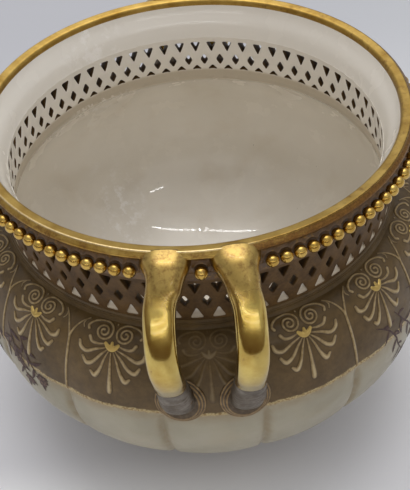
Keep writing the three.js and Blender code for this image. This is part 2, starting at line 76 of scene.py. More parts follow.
GALLERY_INNER_TOP = TRELLIS_RADIUS - 6
GALLERY_INNER_BOTTOM = 91
TRIANGLE_WIDTH = 5.6
TRIANGLE_HEIGHT = 6.4
DIAMOND_WIDTH = 4.4
DIAMOND_HEIGHT = 7.4
TRELLIS_TOP_MARGIN = 2.95
TRELLIS_BOTTOM_MARGIN = 1.35
TRELLIS_STEP = 0.5
SILL_CREST = 0.42
SILL_SHARES = (0, SILL_CREST, 1)
SILL_DROPS = (TRIANGLE_HEIGHT, 1.9, 3.0)
TRELLIS_HEIGHT = 2 * TRIANGLE_HEIGHT + DIAMOND_HEIGHT + 2 * TRELLIS_STEP
GALLERY_BOTTOM = GALLERY_TOP + TRELLIS_TOP_MARGIN + TRELLIS_HEIGHT + TRELLIS_BOTTOM_MARGIN
MOULDING_INNER = TRELLIS_RADIUS - 1.2
MOULDING_TOP = GALLERY_BOTTOM + GAP
SHOULDER_TOP = MOULDING_TOP + 3.3 + GAP
SHOULDER_TOP_RADIUS = MOULDING_INNER + 3.1
NECK_RADIUS = MOULDING_INNER - GAP
NECK_INNER = 91.05
NECK_END = 47.2
PANELS = 16
PANEL = 2 * math.pi / PANELS
ARC_RADIUS = 13.6
BELLY_RADIUS = SHOULDER_TOP_RADIUS + 21.3
FOOT_RADIUS = 66
POT_BOTTOM = HEIGHT - 8
BELLY_END = -math.acos((FOOT_RADIUS - 3.4) / BELLY_RADIUS)
POT_WALL = 6
POT_FLOOR = 6
LOBE_BULGE = 0.8
RIB_DROP = 31
RIB_FADE = 8
GROOVE_CUT = 1.5
GROOVE_WIDTH = 1.7
GROOVE_BROWNING_WIDTH = 2.6
GROOVE_FADE = 14
GLAZE_EDGE = 42
SEAT_ANGLE = math.radians(6.9)
SEAT_DOWN = 32.9
PATH_FROM_RIM = [
    (-4.5, 6.2, 13.4),
    (2, 7, 13.9),
    (8, 10, 15.2),
    (13, 15.3, 16.9),
    (17.3, 20.3, 17.4),
    (20.9, 25.2, 17.5),
    (23.7, 30.5, 17.5),
    (25.1, 36.5, 17.1),
]
PATH_FROM_SEAT = [
    (10.9, -30.5, 2.6),
    (8.5, -24, 2.3),
    (5.9, -17.5, 1.9),
    (3.9, -10.5, 1.4),
    (1.4, -3.5, 0.8),
    (-4.1, 3.5, 0.3),
]
LOOP_WIDTH = 13
LOOP_THICKNESS = 9.8
FLANGE_WIDTH = 20.4
FLANGE_HEIGHT = 12.2
FLANGE_RISE = 0.7
FLARE_REACH = 8
MATT_START = 12
MATT_END = 24
LIP_PLACE = 13
LIP_SWELL = 0.13
SQUARENESS = 2.3
CUFF_LENGTH = 29
CUFF_WIDTH = 15
CUFF_THICKNESS = 12.8
CUFF_ROOT = 2
CREASE_PLACES = (9, 11.2, 13.2, 15, 16.8)

# Camera, at the photograph's viewing angle
CAMERA_PLACE = (0.00669, -0.33314, 0.39912)
CAMERA_RIGHT = (0.9969, -0.04403, -0.06521)
CAMERA_UP = (0.07752, 0.69143, 0.71827)
CAMERA_LENS = 63.32
SENSOR = 36

randomness = random.Random(7)


# Shapes as arrays of points


def smoothstep(low, high, value):
    share = np.clip((np.asarray(value, float) - low) / (high - low), 0, 1)
    return share * share * (3 - 2 * share)


def blend(a, b, share):
    return a + (b - a) * share


def hump(value, width):
    """A smooth rise to 1 where the value is 0."""
    return np.exp(-((value / width) ** 2))


def full_turn(count):
    """Evenly spaced angles all the way round."""
    return np.linspace(0, 2 * math.pi, count, endpoint=False)


def unit(vectors):
    return vectors / np.linalg.norm(vectors, axis=-1, keepdims=True)


def distances(points):
    """The distance run to each of the points."""
    return np.concatenate([[0], np.cumsum(np.linalg.norm(np.diff(points, axis=0), axis=1))])


def on_ring(radius, depth, angle):
    """Points at a radius, depth and angle, along a new last axis."""
    radius, depth, angle = np.broadcast_arrays(radius, depth, angle)
    return np.stack([radius * np.sin(angle), -radius * np.cos(angle), HEIGHT - depth], axis=-1)


def curve_through(points, spacing, place=3):
    """Evenly spaced points along a smooth curve through points, whose first columns are the place."""
    points = np.asarray(points, float)
    padded = np.vstack([2 * points[0] - points[1], points, 2 * points[-1] - points[-2]])
    t = np.linspace(0, 1, 16, endpoint=False)[:, None]
    spans = []
    for i in range(len(points) - 1):
        a, b, c, d = padded[i : i + 4]
        spans.append(b + 0.5 * t * (c - a + t * (2 * a - 5 * b + 4 * c - d + t * (3 * b - a - 3 * c + d))))
    fine = np.vstack([*spans, points[-1:]])
    run = distances(fine[:, :place])
    count = max(2, round(run[-1] / spacing) + 1)
    even = np.linspace(0, run[-1], count)
    return np.stack([np.interp(even, run, column) for column in fine.T], axis=-1)


def rounded(profile, radius, steps=4):
    """A profile with its inner corners rounded off."""
    profile = np.asarray(profile, float)
    points = [profile[0]]
    for before, corner, after in zip(profile, profile[1:], profile[2:]):
        reach = min(radius, 0.45 * np.linalg.norm(before - corner), 0.45 * np.linalg.norm(after - corner))
        start = corner + reach * unit(before - corner)
        end = corner + reach * unit(after - corner)
        for share in np.linspace(0, 1, steps + 1):
            points.append(blend(blend(start, corner, share), blend(corner, end, share), share))
    points.append(profile[-1])
    return np.array(points)


def grid_faces(rows, columns, closed_rows=False, closed_columns=False):
    """Quads between neighbouring points of a grid that is stored row by row."""
    row = np.arange(rows if closed_rows else rows - 1)[:, None]
    column = np.arange(columns if closed_columns else columns - 1)[None, :]
    next_row, next_column = (row + 1) % rows, (column + 1) % columns
    quads = [row * columns + column, row * columns + next_column,
             next_row * columns + next_column, next_row * columns + column]
    return np.stack([np.broadcast_to(quad, (row.size, column.size)) for quad in quads], -1).reshape(-1, 4)


def put(name, data):
    thing = bpy.data.objects.new(name, data)
    bpy.context.scene.collection.objects.link(thing)
    return thing


def put_mesh(name, points, faces, materials, face_materials=None, values=None, closed=True, crease=None):
    """A smooth mesh object that rides on the part's one body.

    values holds named numbers, one per point. Edges that bend by more than crease degrees stay sharp.
    """
    mesh = bpy.data.meshes.new(name)
    mesh.from_pydata((np.asarray(points, float).reshape(-1, 3) * MM).tolist(), [], [list(f) for f in faces])
    for key, numbers in (values or {}).items():
        layer = mesh.attributes.new(key, "FLOAT", "POINT")
        layer.data.foreach_set("value", np.asarray(numbers, np.float32).ravel())
    for material in materials:
        mesh.materials.append(material)
    if face_materials is not None:
        mesh.polygons.foreach_set("material_index", np.asarray(face_materials, np.int32))
    mesh.polygons.foreach_set("use_smooth", np.ones(len(mesh.polygons), bool))
    work = bmesh.new()
    work.from_mesh(mesh)
    bmesh.ops.remove_doubles(work, verts=work.verts, dist=1e-6)
    if closed:
        bmesh.ops.recalc_face_normals(work, faces=work.faces)
    work.to_mesh(mesh)
    work.free()
    if crease:
        mesh.set_sharp_from_angle(angle=math.radians(crease))
    piece = put(name, mesh)
    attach(piece, "root")
    return piece


def stand_for(piece, slot, *nodes):
    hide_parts(*nodes)


# Materials


def linear(colour):
    """Blender's numbers for a colour, which is given as the 0 to 255 values it has on a screen."""
    values = [channel / 255 for channel in colour]
    return (*(v / 12.92 if v <= 0.04045 else ((v + 0.055) / 1.055) ** 2.4 for v in values), 1.0)


class Nodes:
    """The nodes of a material or of the world. Their inputs are sockets, colours or numbers."""

    def __init__(self, tree):
        self.tree = tree

    def feed(self, socket, value):
        if isinstance(value, bpy.types.NodeSocket):
            self.tree.links.new(value, socket)
        else:
            socket.default_value = linear(value) if isinstance(value, tuple) else value

    def node(self, kind, settings=None, **inputs):
        made = self.tree.nodes.new(kind)
        for key, value in (settings or {}).items():
            setattr(made, key, value)
        for key, value in inputs.items():
            self.feed(made.inputs[key.replace("_", " ")], value)
        return made

    def maths(self, operation, *inputs):
        made = self.node("ShaderNodeMath", {"operation": operation})
        for socket, value in zip(made.inputs, inputs):
            self.feed(socket, value)
        return made.outputs[0]

    def times(self, a, b):
        return self.maths("MULTIPLY", a, b)

    def plus(self, a, b):
        return self.maths("ADD", a, b)

    def mix(self, share, a, b, **settings):
        made = self.node("ShaderNodeMix", {"data_type": "RGBA", **settings})
        for index, value in ((0, share), (6, a), (7, b)):
            self.feed(made.inputs[index], value)
        return made.outputs[2]

    def ramp(self, value, *stops, interpolation="LINEAR"):
        """Colours along a value, as (place, colour) stops."""
        made = self.node("ShaderNodeValToRGB", Fac=value)
        made.color_ramp.interpolation = interpolation
        elements = made.color_ramp.elements
        while len(elements) < len(stops):
            elements.new(1)
        for element, (place, colour) in zip(elements, stops):
            element.position = place
            element.color = linear(colour)
        return made.outputs["Color"]


class Finish(Nodes):
    """A procedural material."""

    def __init__(self, name, **sockets):
        self.material = bpy.data.materials.new(name)
        self.material.use_nodes = True
        super().__init__(self.material.node_tree)
        self.shader = self.tree.nodes["Principled BSDF"]
        self.place = self.node("ShaderNodeTexCoord").outputs["Object"]
        self.set(**sockets)

    def set(self, **sockets):
        for key, value in sockets.items():
            self.feed(self.shader.inputs[key.replace("_", " ")], value)

    def noise(self, size, detail=4, roughness=0.55):
        """Soft noise whose blotches are about size millimetres wide."""
        made = self.node("ShaderNodeTexNoise", Vector=self.place, Scale=1 / (size * MM), Detail=detail,
                         Roughness=roughness)
        return made.outputs["Fac"]

    def scuffs(self, size, low, high, most=1.0, detail=8):
        """Ragged patches, where a rough noise passes from low to high."""
        return self.range(self.noise(size, detail, 0.7), low, high, 0, most)

    def axis(self, index):
        """A place along x, y or z, in metres."""
        return self.node("ShaderNodeSeparateXYZ", Vector=self.place).outputs[index]

    def value(self, name):
        return self.node("ShaderNodeAttribute", {"attribute_name": name}).outputs["Fac"]

    def range(self, value, low, high, out_low=0.0, out_high=1.0):
        """A value eased from low and high, in either order, to out_low and out_high."""
        made = self.node("ShaderNodeMapRange", {"interpolation_type": "SMOOTHSTEP"}, Value=value)
        for key, number in zip(("From Min", "From Max", "To Min", "To Max"), (low, high, out_low, out_high)):
            made.inputs[key].default_value = number
        return made.outputs["Result"]

    def relief(self, *layers):
        """Bumps on one another, as heights from 0 to 1 with their depths in millimetres."""
        sockets = {}
        for height, depth in layers:
            made = self.node("ShaderNodeBump", Height=height, Distance=depth * MM, Strength=1, **sockets)
            sockets = {"Normal": made.outputs["Normal"]}
        self.set(**sockets)


def gilt(name, wear, roughness, dark, light, coat=0.0):
    """Old burnished gold, with browner thin places and fine pits. wear is how much of it has thinned."""
    finish = Finish(name, Metallic=1.0, Coat_Weight=coat, Coat_Roughness=0.06)
    cloud = finish.noise(9, detail=6, roughness=0.62)
    fine = finish.noise(0.7, detail=3)
    gold = finish.ramp(cloud, (0.3, dark), (0.7, light))
    scuffs = finish.scuffs(3.2, 0.62 - wear, 0.72 - wear * 0.4)
    thin = finish.maths("MAXIMUM", finish.times(scuffs, 0.75), worn_places(finish))
    worn = finish.mix(finish.range(fine, 0.4, 0.6), (112, 78, 42), (150, 112, 68))
    matt = finish.value("matt")
    dulled = finish.mix(finish.times(matt, 0.8), gold, (176, 145, 76))
    scraped = finish.scuffs(3.6, 0.44, 0.68, 0.75)
    rubbed = finish.mix(finish.times(matt, scraped), dulled, (116, 82, 38))
    finish.set(Base_Color=finish.mix(thin, rubbed, worn))
    rough = finish.plus(finish.times(cloud, 0.08), roughness)
    more = finish.plus(finish.times(thin, 0.2), finish.times(matt, 0.16))
    finish.set(Roughness=finish.plus(rough, more))
    finish.relief((finish.noise(7, detail=1), 0.02), (fine, 0.01))
    return finish.material


def worn_places(finish):
    """Where a piece's own worn value and a coarse noise together have taken off the gold."""
    wear = finish.plus(finish.value("worn"), finish.noise(2.6, detail=6, roughness=0.65))
    return finish.times(finish.range(wear, 0.95, 1.2), 0.85)


def rim_gilt():
    """Matt gold, browner on its outer side and, as wear and painted shade, at the right. Its edge is pale,
    rubbed and painted as a highlight, and a dark line of painted shade at the right.
    """
    finish = Finish("rim_gilt")
    cloud = finish.noise(11, detail=6, roughness=0.6)
    fine = finish.noise(0.8, detail=4)
    gold = finish.ramp(cloud, (0.3, (156, 122, 54)), (0.7, (196, 165, 92)))
    # Painted shade as well as wear: the rim is browner at the right.
    right = finish.range(finish.axis(0), 0.0, 0.06)
    side = finish.value("side")
    side_wear_and_shade = finish.times(side, finish.range(right, 0, 1, 0.2, 0.36))
    more = finish.plus(side_wear_and_shade, finish.times(right, 0.12))
    wear = finish.plus(finish.noise(4, detail=8, roughness=0.68), more)
    thin = finish.range(wear, 0.6, 0.9)
    brown = finish.ramp(fine, (0.3, (94, 62, 24)), (0.7, (140, 100, 44)))
    # The edge line is pale, partly rubbed gold and partly painted highlight, and at the right a dark line of
    # painted shade.
    rubbed = finish.times(finish.value("edge"), finish.range(fine, 0.25, 0.6, 0.35, 0.9))
    edge_tone = finish.mix(finish.range(finish.axis(0), 0.0, 0.03), (226, 208, 164), (70, 44, 18))
    finish.set(Base_Color=finish.mix(rubbed, finish.mix(thin, gold, brown), edge_tone))
    finish.set(Metallic=finish.maths("SUBTRACT", 0.97, finish.times(thin, 0.3)))
    finish.set(Roughness=finish.plus(finish.times(cloud, 0.16), 0.26))
    finish.relief((finish.noise(4, detail=3), 0.1), (fine, 0.03))
    return finish.material


def silvered():
    """Grey silver lustre, streaked and tarnished to olive and brown."""
    finish = Finish("silver_lustre", Metallic=0.75)
    cloud = finish.noise(5, detail=6, roughness=0.65)
    fine = finish.noise(0.6, detail=4)
    grey = finish.ramp(cloud, (0.3, (80, 68, 52)), (0.5, (107, 98, 87)), (0.7, (138, 131, 122)))
    wear = finish.plus(finish.noise(2.4, detail=8, roughness=0.7), finish.value("worn"))
    finish.set(Base_Color=finish.mix(finish.range(wear, 0.58, 0.74), grey, (98, 76, 48)))
    finish.set(Roughness=finish.plus(finish.times(fine, 0.2), 0.34))
    finish.relief((fine, 0.03), (cloud, 0.25))
    return finish.material


def seat_bronze():
    """Brown lustre with gold on its ridges, for the seats."""
    finish = Finish("seat_lustre", Metallic=0.45)
    crest = finish.range(finish.value("raised"), 0.35, 0.95)
    cloud = finish.noise(2.5, detail=6, roughness=0.65)
    ground = finish.ramp(cloud, (0.35, (66, 53, 38)), (0.65, (98, 84, 66)))
    ridge = finish.ramp(cloud, (0.35, (112, 88, 54)), (0.65, (152, 126, 86)))
    finish.set(Base_Color=finish.mix(crest, ground, ridge), Roughness=0.38)
    finish.relief((finish.noise(0.8), 0.05))
    return finish.material


def cream_tones(finish, dark, light):
    """Aged cream glaze between two tones: broad warm clouds, faint stains and a few fine specks."""
    cloud = finish.noise(38, detail=5, roughness=0.5)
    cream = finish.ramp(cloud, (0.3, dark), (0.7, light))
    browning = finish.range(finish.noise(22, detail=4, roughness=0.5), 0.5, 0.85)
    stained = finish.mix(finish.times(browning, 0.25), cream, (192, 172, 138))
    speck = finish.range(finish.noise(2.2, detail=2), 0.76, 0.8)
    return finish.mix(finish.times(speck, 0.5), stained, (120, 104, 78))


def inside_tones(finish):
    """The inside's cream: greyer in the bowl than near the rim as painted shade, with a tan band of painted
    shade at the gallery's foot.
    """
    bowl = cream_tones(finish, (231, 224, 211), (240, 234, 223))
    # Painted light: the cream is paler high up near the rim.
    high = finish.range(finish.axis(2), 0.129, 0.146)
    inside = finish.mix(finish.times(high, 0.9), bowl, (240, 235, 226))
    # Painted shade: a tan band under the gallery's foot.
    painted_shade_band = finish.times(patch(finish, 2, 0.119, 0.126, 0.13, 0.1325), 0.9)
    return finish.mix(painted_shade_band, inside, (190, 177, 155))


def patch(finish, index, start, full, still_full, end):
    """A share along an axis that rises from start to full and falls from still_full to end."""
    place = finish.axis(index)
    return finish.times(finish.range(place, start, full), finish.range(place, end, still_full))


def scuffed_tones(finish):
    """The inside's tones with pale dry scuffs on the left of the bowl's far floor."""
    across = patch(finish, 0, -0.072, -0.055, -0.045, -0.03)
    back = patch(finish, 1, 0.03, 0.055, 0.08, 0.1)
    blots = finish.scuffs(7, 0.49, 0.62, 0.9)
    scuffs = finish.times(blots, finish.times(across, back))
    return finish.mix(scuffs, inside_tones(finish), (252, 248, 242))


def white_glaze():
    finish = Finish("cream_glaze", Specular_IOR_Level=0.3, Coat_Weight=0.8, Coat_Roughness=0.02)
    finish.set(Base_Color=scuffed_tones(finish))
    finish.set(Roughness=finish.range(finish.noise(20, detail=3), 0.3, 0.7, 0.16, 0.3))
    finish.relief((finish.noise(14, detail=2), 0.12), (finish.noise(1.8, detail=2), 0.035))
    return finish.material


def brown_glaze(finish, dark, light, size=14):
    """Bronze-brown glaze colour with cloudy and streaky changes of tone."""
    cloud = finish.noise(size, detail=6, roughness=0.6)
    streak = finish.noise(size / 6, detail=5, roughness=0.65)
    tone = finish.plus(finish.times(cloud, 0.65), finish.times(streak, 0.35))
    return finish.ramp(tone, (0.34, dark), (0.66, light))


def gallery_glaze():
    """Brown outside and in the holes, darker deep in the holes as painted shade, and cream on the inner face.
    """
    finish = Finish("gallery_glaze", Specular_IOR_Level=0.25)
    face = brown_glaze(finish, (64, 45, 22), (110, 83, 46), 9)
    # Painted shade: the middle of each hole's wall is darkened.
    brown = finish.mix(finish.times(finish.value("painted_hole_shade"), 0.8), face, (34, 24, 18))
    edge = finish.plus(finish.value("inner"), finish.times(finish.noise(1.2, detail=4), 0.5))
    inside = finish.range(edge, 0.82, 1.0)
    finish.set(Base_Color=finish.mix(inside, brown, inside_tones(finish)))
    finish.set(Roughness=finish.range(inside, 0, 1, 0.5, 0.16))
    finish.relief((finish.noise(1.2, detail=3), 0.05))
    return finish.material


def collar_glaze():
    """Dark brown cove with greyer edges round the beads' cups, and gold in their lower edges."""
    finish = Finish("collar_glaze", Specular_IOR_Level=0.5)
    brown = brown_glaze(finish, (74, 51, 25), (126, 94, 52), 5)
    crest = finish.range(finish.value("raised"), 0.25, 0.9)
    edged = finish.mix(finish.times(crest, 0.6), brown, (124, 102, 80))
    scuffs = finish.scuffs(3, 0.54, 0.66, 0.6, detail=7)
    lower = finish.times(finish.range(finish.value("gilded"), 0.25, 0.8), 0.8)
    gilded = finish.maths("MAXIMUM", lower, scuffs)
    finish.set(Base_Color=finish.mix(gilded, edged, (166, 128, 66)), Metallic=gilded)
    finish.set(Roughness=finish.range(finish.noise(2.5), 0.3, 0.7, 0.3, 0.46))
    finish.relief((finish.noise(0.9, detail=3), 0.04))
    return finish.material


def relief_tones(finish, ground):
    """The shoulder's relief: dark where glaze pools at its foot, and paler towards its crests."""
    paint, raised = finish.value("paint"), finish.value("raised")
    line = finish.ramp(finish.noise(1.8, detail=4), (0.35, (132, 110, 70)), (0.65, (168, 146, 106)))
    steps = ((0.02, 0.12, (76, 59, 34)), (0.15, 0.6, line), (0.6, 1.0, (186, 168, 130)))
    tone = ground
    for low, high, colour in steps:
        tone = finish.mix(finish.times(paint, finish.range(raised, low, high)), tone, colour)
    return tone


def belly_tones(finish, edge):
    """Cream, browner just below the glaze's edge and in the grooves."""
    clean = cream_tones(finish, (151, 145, 125), (174, 168, 149))
    below_edge = finish.range(edge, GLAZE_EDGE + 1, GLAZE_EDGE + 10, 0.5, 0)
    browning = finish.maths("MAXIMUM", finish.times(finish.value("groove"), 0.6), below_edge)
    blotched = finish.times(browning, finish.range(finish.noise(5, detail=5), 0.3, 0.65, 0.4, 1))
    return finish.mix(blotched, clean, (140, 118, 80))


def shoulder_glaze():
    """Taupe on the shoulder, cream below, with a speckled gold edge between them and blushed relief."""
    finish = Finish("shoulder_glaze", Specular_IOR_Level=0.28)
    taupe = brown_glaze(finish, (73, 57, 32), (107, 86, 52), 16)
    gold = finish.range(finish.value("gilded"), 0.3, 0.7)
    shoulder = finish.mix(gold, relief_tones(finish, taupe), (190, 162, 94))

    wander = finish.times(finish.noise(9, detail=3), 3.0)
    fray = finish.times(finish.noise(0.9, detail=5, roughness=0.7), 2.2)
    edge = finish.plus(finish.value("down"), finish.plus(wander, fray))
    speckle = finish.ramp(finish.noise(0.8, detail=4), (0.4, (140, 112, 66)), (0.55, (186, 168, 122)))
    with_edge = finish.mix(finish.range(edge, GLAZE_EDGE - 0.4, GLAZE_EDGE + 0.4), shoulder, speckle)
    below = finish.range(edge, GLAZE_EDGE + 0.9, GLAZE_EDGE + 2.6)
    finish.set(Base_Color=finish.mix(below, with_edge, belly_tones(finish, edge)))
    finish.set(Metallic=finish.times(gold, 0.6))
    finish.set(Roughness=finish.range(finish.noise(12, detail=5), 0.3, 0.7, 0.3, 0.46))
    finish.relief((finish.noise(11, detail=2), 0.22), (finish.noise(1.3, detail=4), 0.035))
    return finish.material


def foliage_paint():
    """Purple-brown painted outlines round greyer, thinner washes."""
    finish = Finish("foliage_paint", Specular_IOR_Level=0.15, Roughness=0.45)
    core = finish.range(finish.value("core"), 0.25, 0.7)
    blot = finish.noise(1.6, detail=5, roughness=0.7)
    outline = finish.ramp(blot, (0.35, (56, 38, 40)), (0.65, (88, 64, 54)))
    wash = finish.ramp(blot, (0.35, (84, 64, 54)), (0.65, (128, 104, 80)))
    finish.set(Base_Color=finish.mix(core, outline, wash))
    return finish.material


def floor_paper():
    finish = Finish("pale_floor", Roughness=0.7, Specular_IOR_Level=0.2)
    cloud = finish.noise(220, detail=3)
    # Painted light: the paper is lighter near the pot and in front of it than far off, lighter to the right,
    # and in front lighter to the left.
    right = finish.range(finish.axis(0), -0.02, 0.22)
    near = finish.range(finish.axis(1), -0.05, 0.4, 1, 0)
    far_side = finish.mix(right, (190, 191, 197), (194, 196, 201))
    painted_light_near_side = finish.mix(right, (216, 216, 221), (240, 240, 243))
    in_front = finish.range(finish.axis(1), -0.07, -0.11)
    painted_light_front_side = finish.mix(finish.range(finish.axis(0), -0.02, 0.1), (250, 250, 252), (226, 226, 230))
    paper = finish.mix(in_front, finish.mix(near, far_side, painted_light_near_side), painted_light_front_side)
    shade = finish.range(cloud, 0.35, 0.65, 0.0, 0.1)
    finish.set(Base_Color=finish.mix(shade, paper, (186, 188, 194)))
    finish.relief((finish.noise(1.2, detail=2), 0.02))
    return finish.material


GILT = gilt("gilt", 0.0, 0.11, (170, 139, 60), (202, 180, 102), coat=0.5)
BEAD_GILT = gilt("bead_gilt", 0.02, 0.22, (178, 140, 62), (210, 178, 100))
RIM_GILT = rim_gilt()
SILVER = silvered()
SEAT_LUSTRE = seat_bronze()
CREAM = white_glaze()
GALLERY = gallery_glaze()
COLLAR = collar_glaze()
SHOULDER = shoulder_glaze()
FOLIAGE = foliage_paint()


# The pot's outside


def belly_for(normal):
    """The belly's ellipse, which meets the shoulder's arc at a normal: its start, half height and depths."""
    start = math.acos((SHOULDER_TOP_RADIUS + ARC_RADIUS * math.cos(normal)) / BELLY_RADIUS)
    half_height = BELLY_RADIUS * math.tan(start) / math.tan(normal)
    joint_depth = SHOULDER_TOP + ARC_RADIUS * (1 - math.sin(normal))
    return start, half_height, joint_depth, joint_depth + half_height * math.sin(start)


def joint_normal():
    """The normal at which the ellipse ends at the pot's bottom, found by halving."""
    low, high = 0, math.pi / 2
    for _ in range(50):
        normal = (low + high) / 2
        _, half_height, _, middle_depth = belly_for(normal)
        too_low = middle_depth - half_height * math.sin(BELLY_END) > POT_BOTTOM
        low, high = (normal, high) if too_low else (low, normal)
    return high


ARC_NORMAL = joint_normal()
ARC_LENGTH = ARC_RADIUS * (math.pi / 2 - ARC_NORMAL)
BELLY_START, BELLY_HALF_HEIGHT, JOINT_DEPTH, BELLY_DEPTH = belly_for(ARC_NORMAL)


def skin(down):
    """Radius, depth and normal of the pot's outside. The normal is an angle above the horizontal."""
    down = np.asarray(down, float)
    swing = down / ARC_RADIUS
    turn = BELLY_START - (down - ARC_LENGTH) / BELLY_HALF_HEIGHT
    arc = SHOULDER_TOP_RADIUS + ARC_RADIUS * np.sin(swing), SHOULDER_TOP + ARC_RADIUS * (1 - np.cos(swing))
    belly = BELLY_RADIUS * np.cos(turn), BELLY_DEPTH - BELLY_HALF_HEIGHT * np.sin(turn)
    slope = np.arctan2(np.sin(turn) / BELLY_HALF_HEIGHT, np.cos(turn) / BELLY_RADIUS)
    return np.where(down <= ARC_LENGTH, (*arc, math.pi / 2 - swing), (*belly, slope))


def from_nearest_rib(angle):
    past = (angle + PANEL / 2) % PANEL
    return np.minimum(past, PANEL - past)


def lobe_shift(angle, depth):
    """How far the lobes move the outside: panels bulge and are parted by grooves below the ribs."""
    from_rib = from_nearest_rib(angle)
    near_shoulder = smoothstep(SHOULDER_TOP, JOINT_DEPTH, depth)
    near_foot = 1 - smoothstep(POT_BOTTOM - GROOVE_FADE, POT_BOTTOM, depth)
    below_rib = smoothstep(SHOULDER_TOP + RIB_DROP, SHOULDER_TOP + RIB_DROP + RIB_FADE, depth)
    bulge = -LOBE_BULGE * (1 - from_rib / (PANEL / 2)) ** 2 * near_shoulder * near_foot
    groove = hump(from_rib * BELLY_RADIUS, GROOVE_WIDTH) * GROOVE_CUT * below_rib * near_foot
    return bulge - groove


def on_skin(down, angle, lift=0.0):
    """Points on the pot's outside, moved out by lift."""
    radius, depth, normal = skin(down)
    shift = lobe_shift(angle, depth)
    return on_ring(radius + shift + lift * np.cos(normal), depth - lift * np.sin(normal), angle)


FROM_GROOVE = (0, 0.4, 0.8, 1.3, 1.9, 2.6, 3.5, 5, 7.5, 11, 15, 19)
ARC_ROWS = 14
BELLY_ROWS = 96
INSIDE_ROWS = 60


def panel_angles():
    """Angles round the pot that crowd together at the grooves."""
    steps = np.array(FROM_GROOVE) / BELLY_RADIUS
    one_panel = np.concatenate([steps, [PANEL / 2], (PANEL - steps[:0:-1])])
    return (np.arange(PANELS)[:, None] * PANEL - PANEL / 2 + one_panel[None, :]).ravel()


def inside_profile():
    """Radius and depth down the neck and the inside, which ends in the middle of the floor."""
    radius = BELLY_RADIUS - POT_WALL
    start = math.acos(NECK_INNER / radius)
    upper = (BELLY_DEPTH - NECK_END) / math.sin(start)
    lower = POT_BOTTOM - POT_FLOOR - BELLY_DEPTH
    turns = np.linspace(start, -math.pi / 2, INSIDE_ROWS)
    bowl = [(radius * math.cos(t), BELLY_DEPTH - (upper if t > 0 else lower) * math.sin(t)) for t in turns]
    neck = [(NECK_RADIUS, SHOULDER_TOP), (NECK_RADIUS, GALLERY_BOTTOM), (NECK_INNER, GALLERY_BOTTOM)]
    profile = np.array([*neck, *bowl])
    profile[-1, 0] = 0
    return profile


def pot():
    """The lobed bowl: outside, neck and inside as one closed skin."""
    angles = panel_angles()
    last_down = ARC_LENGTH + (BELLY_START - BELLY_END) * BELLY_HALF_HEIGHT
    on_arc = np.linspace(0, ARC_LENGTH, ARC_ROWS, endpoint=False)
    downs = np.concatenate([on_arc, np.linspace(ARC_LENGTH, last_down, BELLY_ROWS)])
    outside = on_skin(downs[:, None], angles)
    profile = inside_profile()
    inside = on_ring(profile[:, :1], profile[:, 1:], angles)
    bottom = on_ring(0, np.array([[POT_BOTTOM]]), angles)

    rows = np.concatenate([bottom, outside[::-1], inside])
    faces = grid_faces(len(rows), len(angles), closed_columns=True)
    inside_from = 1 + len(outside) + 1
    face_materials = (faces[:, 0] // len(angles) >= inside_from).astype(int)
    row_down = np.concatenate([[last_down], downs[::-1], np.zeros(len(profile))])
    down_value = np.repeat(row_down, len(angles))
    nothing = np.zeros(len(down_value))
    groove = np.tile(hump(from_nearest_rib(angles) * BELLY_RADIUS, GROOVE_BROWNING_WIDTH), len(rows))
    values = {"down": down_value, "raised": nothing, "gilded": nothing, "groove": groove}
    piece = put_mesh("pot_body", rows, faces, [SHOULDER, CREAM], face_materials, values, crease=60)
    stand_for(piece, "ivory_glaze", "pot_bowl")


# Relief: raised strokes are (across, down, half width, height) points


def relief_height(across, down, strokes):
    """Height of rounded ridges along the strokes, melted together where they meet."""
    melt = 4
    total = np.zeros_like(across)
    for stroke in strokes:
        ridge = np.zeros_like(across)
        for x, s, half_width, height in curve_through(stroke, 0.3, place=2):
            reach = np.minimum(np.hypot(across - x, down - s) / (half_width * STROKE_SPREAD), 1)
            ridge = np.maximum(ridge, height * (0.5 + 0.5 * np.cos(math.pi * reach)))
        total += ridge**melt
    return total ** (1 / melt)


def mirrored(strokes):
    return [[(-x, s, half_width, height) for x, s, half_width, height in stroke] for stroke in strokes]


def volute():
    """A spiral that winds out of its eye, over the top and down to a bulb at its side."""
    x, s = VOLUTE_EYE
    stroke = []
    for turn in range(VOLUTE_TURNS[-1], VOLUTE_TURNS[0] - 1, -VOLUTE_STEP):
        radius = np.interp(turn, VOLUTE_TURNS, VOLUTE_RADII)
        swing = math.radians(turn)
        thick = 0.8 if stroke else 0.95
        stroke.append((x + radius * math.cos(swing), s - radius * math.sin(swing), thick, 0.5))
    end = [(8.6, 1.5, 0.8, 0.5), (11.2, 3.0, 0.85, 0.5), (12.6, 5.0, 0.95, 0.5), (12.1, 6.3, 1.1, 0.6)]
    return stroke + end


VOLUTE_EYE = (5.0, 5.6)
VOLUTE_TURNS = (90, 270, 810)
VOLUTE_RADII = (4.7, 3.3, 0.7)
VOLUTE_STEP = 30
SIDE_STROKES = [
    volute(),
    [(14.4, 3.4, 0.5, 0.3), (15.2, 5.0, 0.7, 0.4), (14.6, 6.6, 0.6, 0.35)],
    [(3.0, 10.6, 0.6, 0.35), (6.4, 11.4, 0.9, 0.5), (9.3, 11.2, 1.1, 0.55), (10.7, 9.4, 1.2, 0.6)],
    [(2.8, 12.4, 0.6, 0.35), (6.8, 13.9, 0.9, 0.5), (11.6, 16.2, 1.2, 0.6), (14.6, 15.2, 1.4, 0.65),
     (15.3, 12.8, 1.1, 0.5)],
    [(2.0, 13.2, 0.6, 0.35), (4.6, 15.8, 0.9, 0.5), (8.2, 20.0, 1.2, 0.6), (11.3, 21.4, 1.4, 0.65),
     (13.3, 19.0, 1.1, 0.5)],
    [(1.2, 13.8, 0.6, 0.35), (2.9, 17.4, 0.8, 0.45), (4.7, 22.4, 1.1, 0.6), (7.1, 26.0, 1.5, 0.7),
     (9.1, 24.6, 1.0, 0.5)],
]
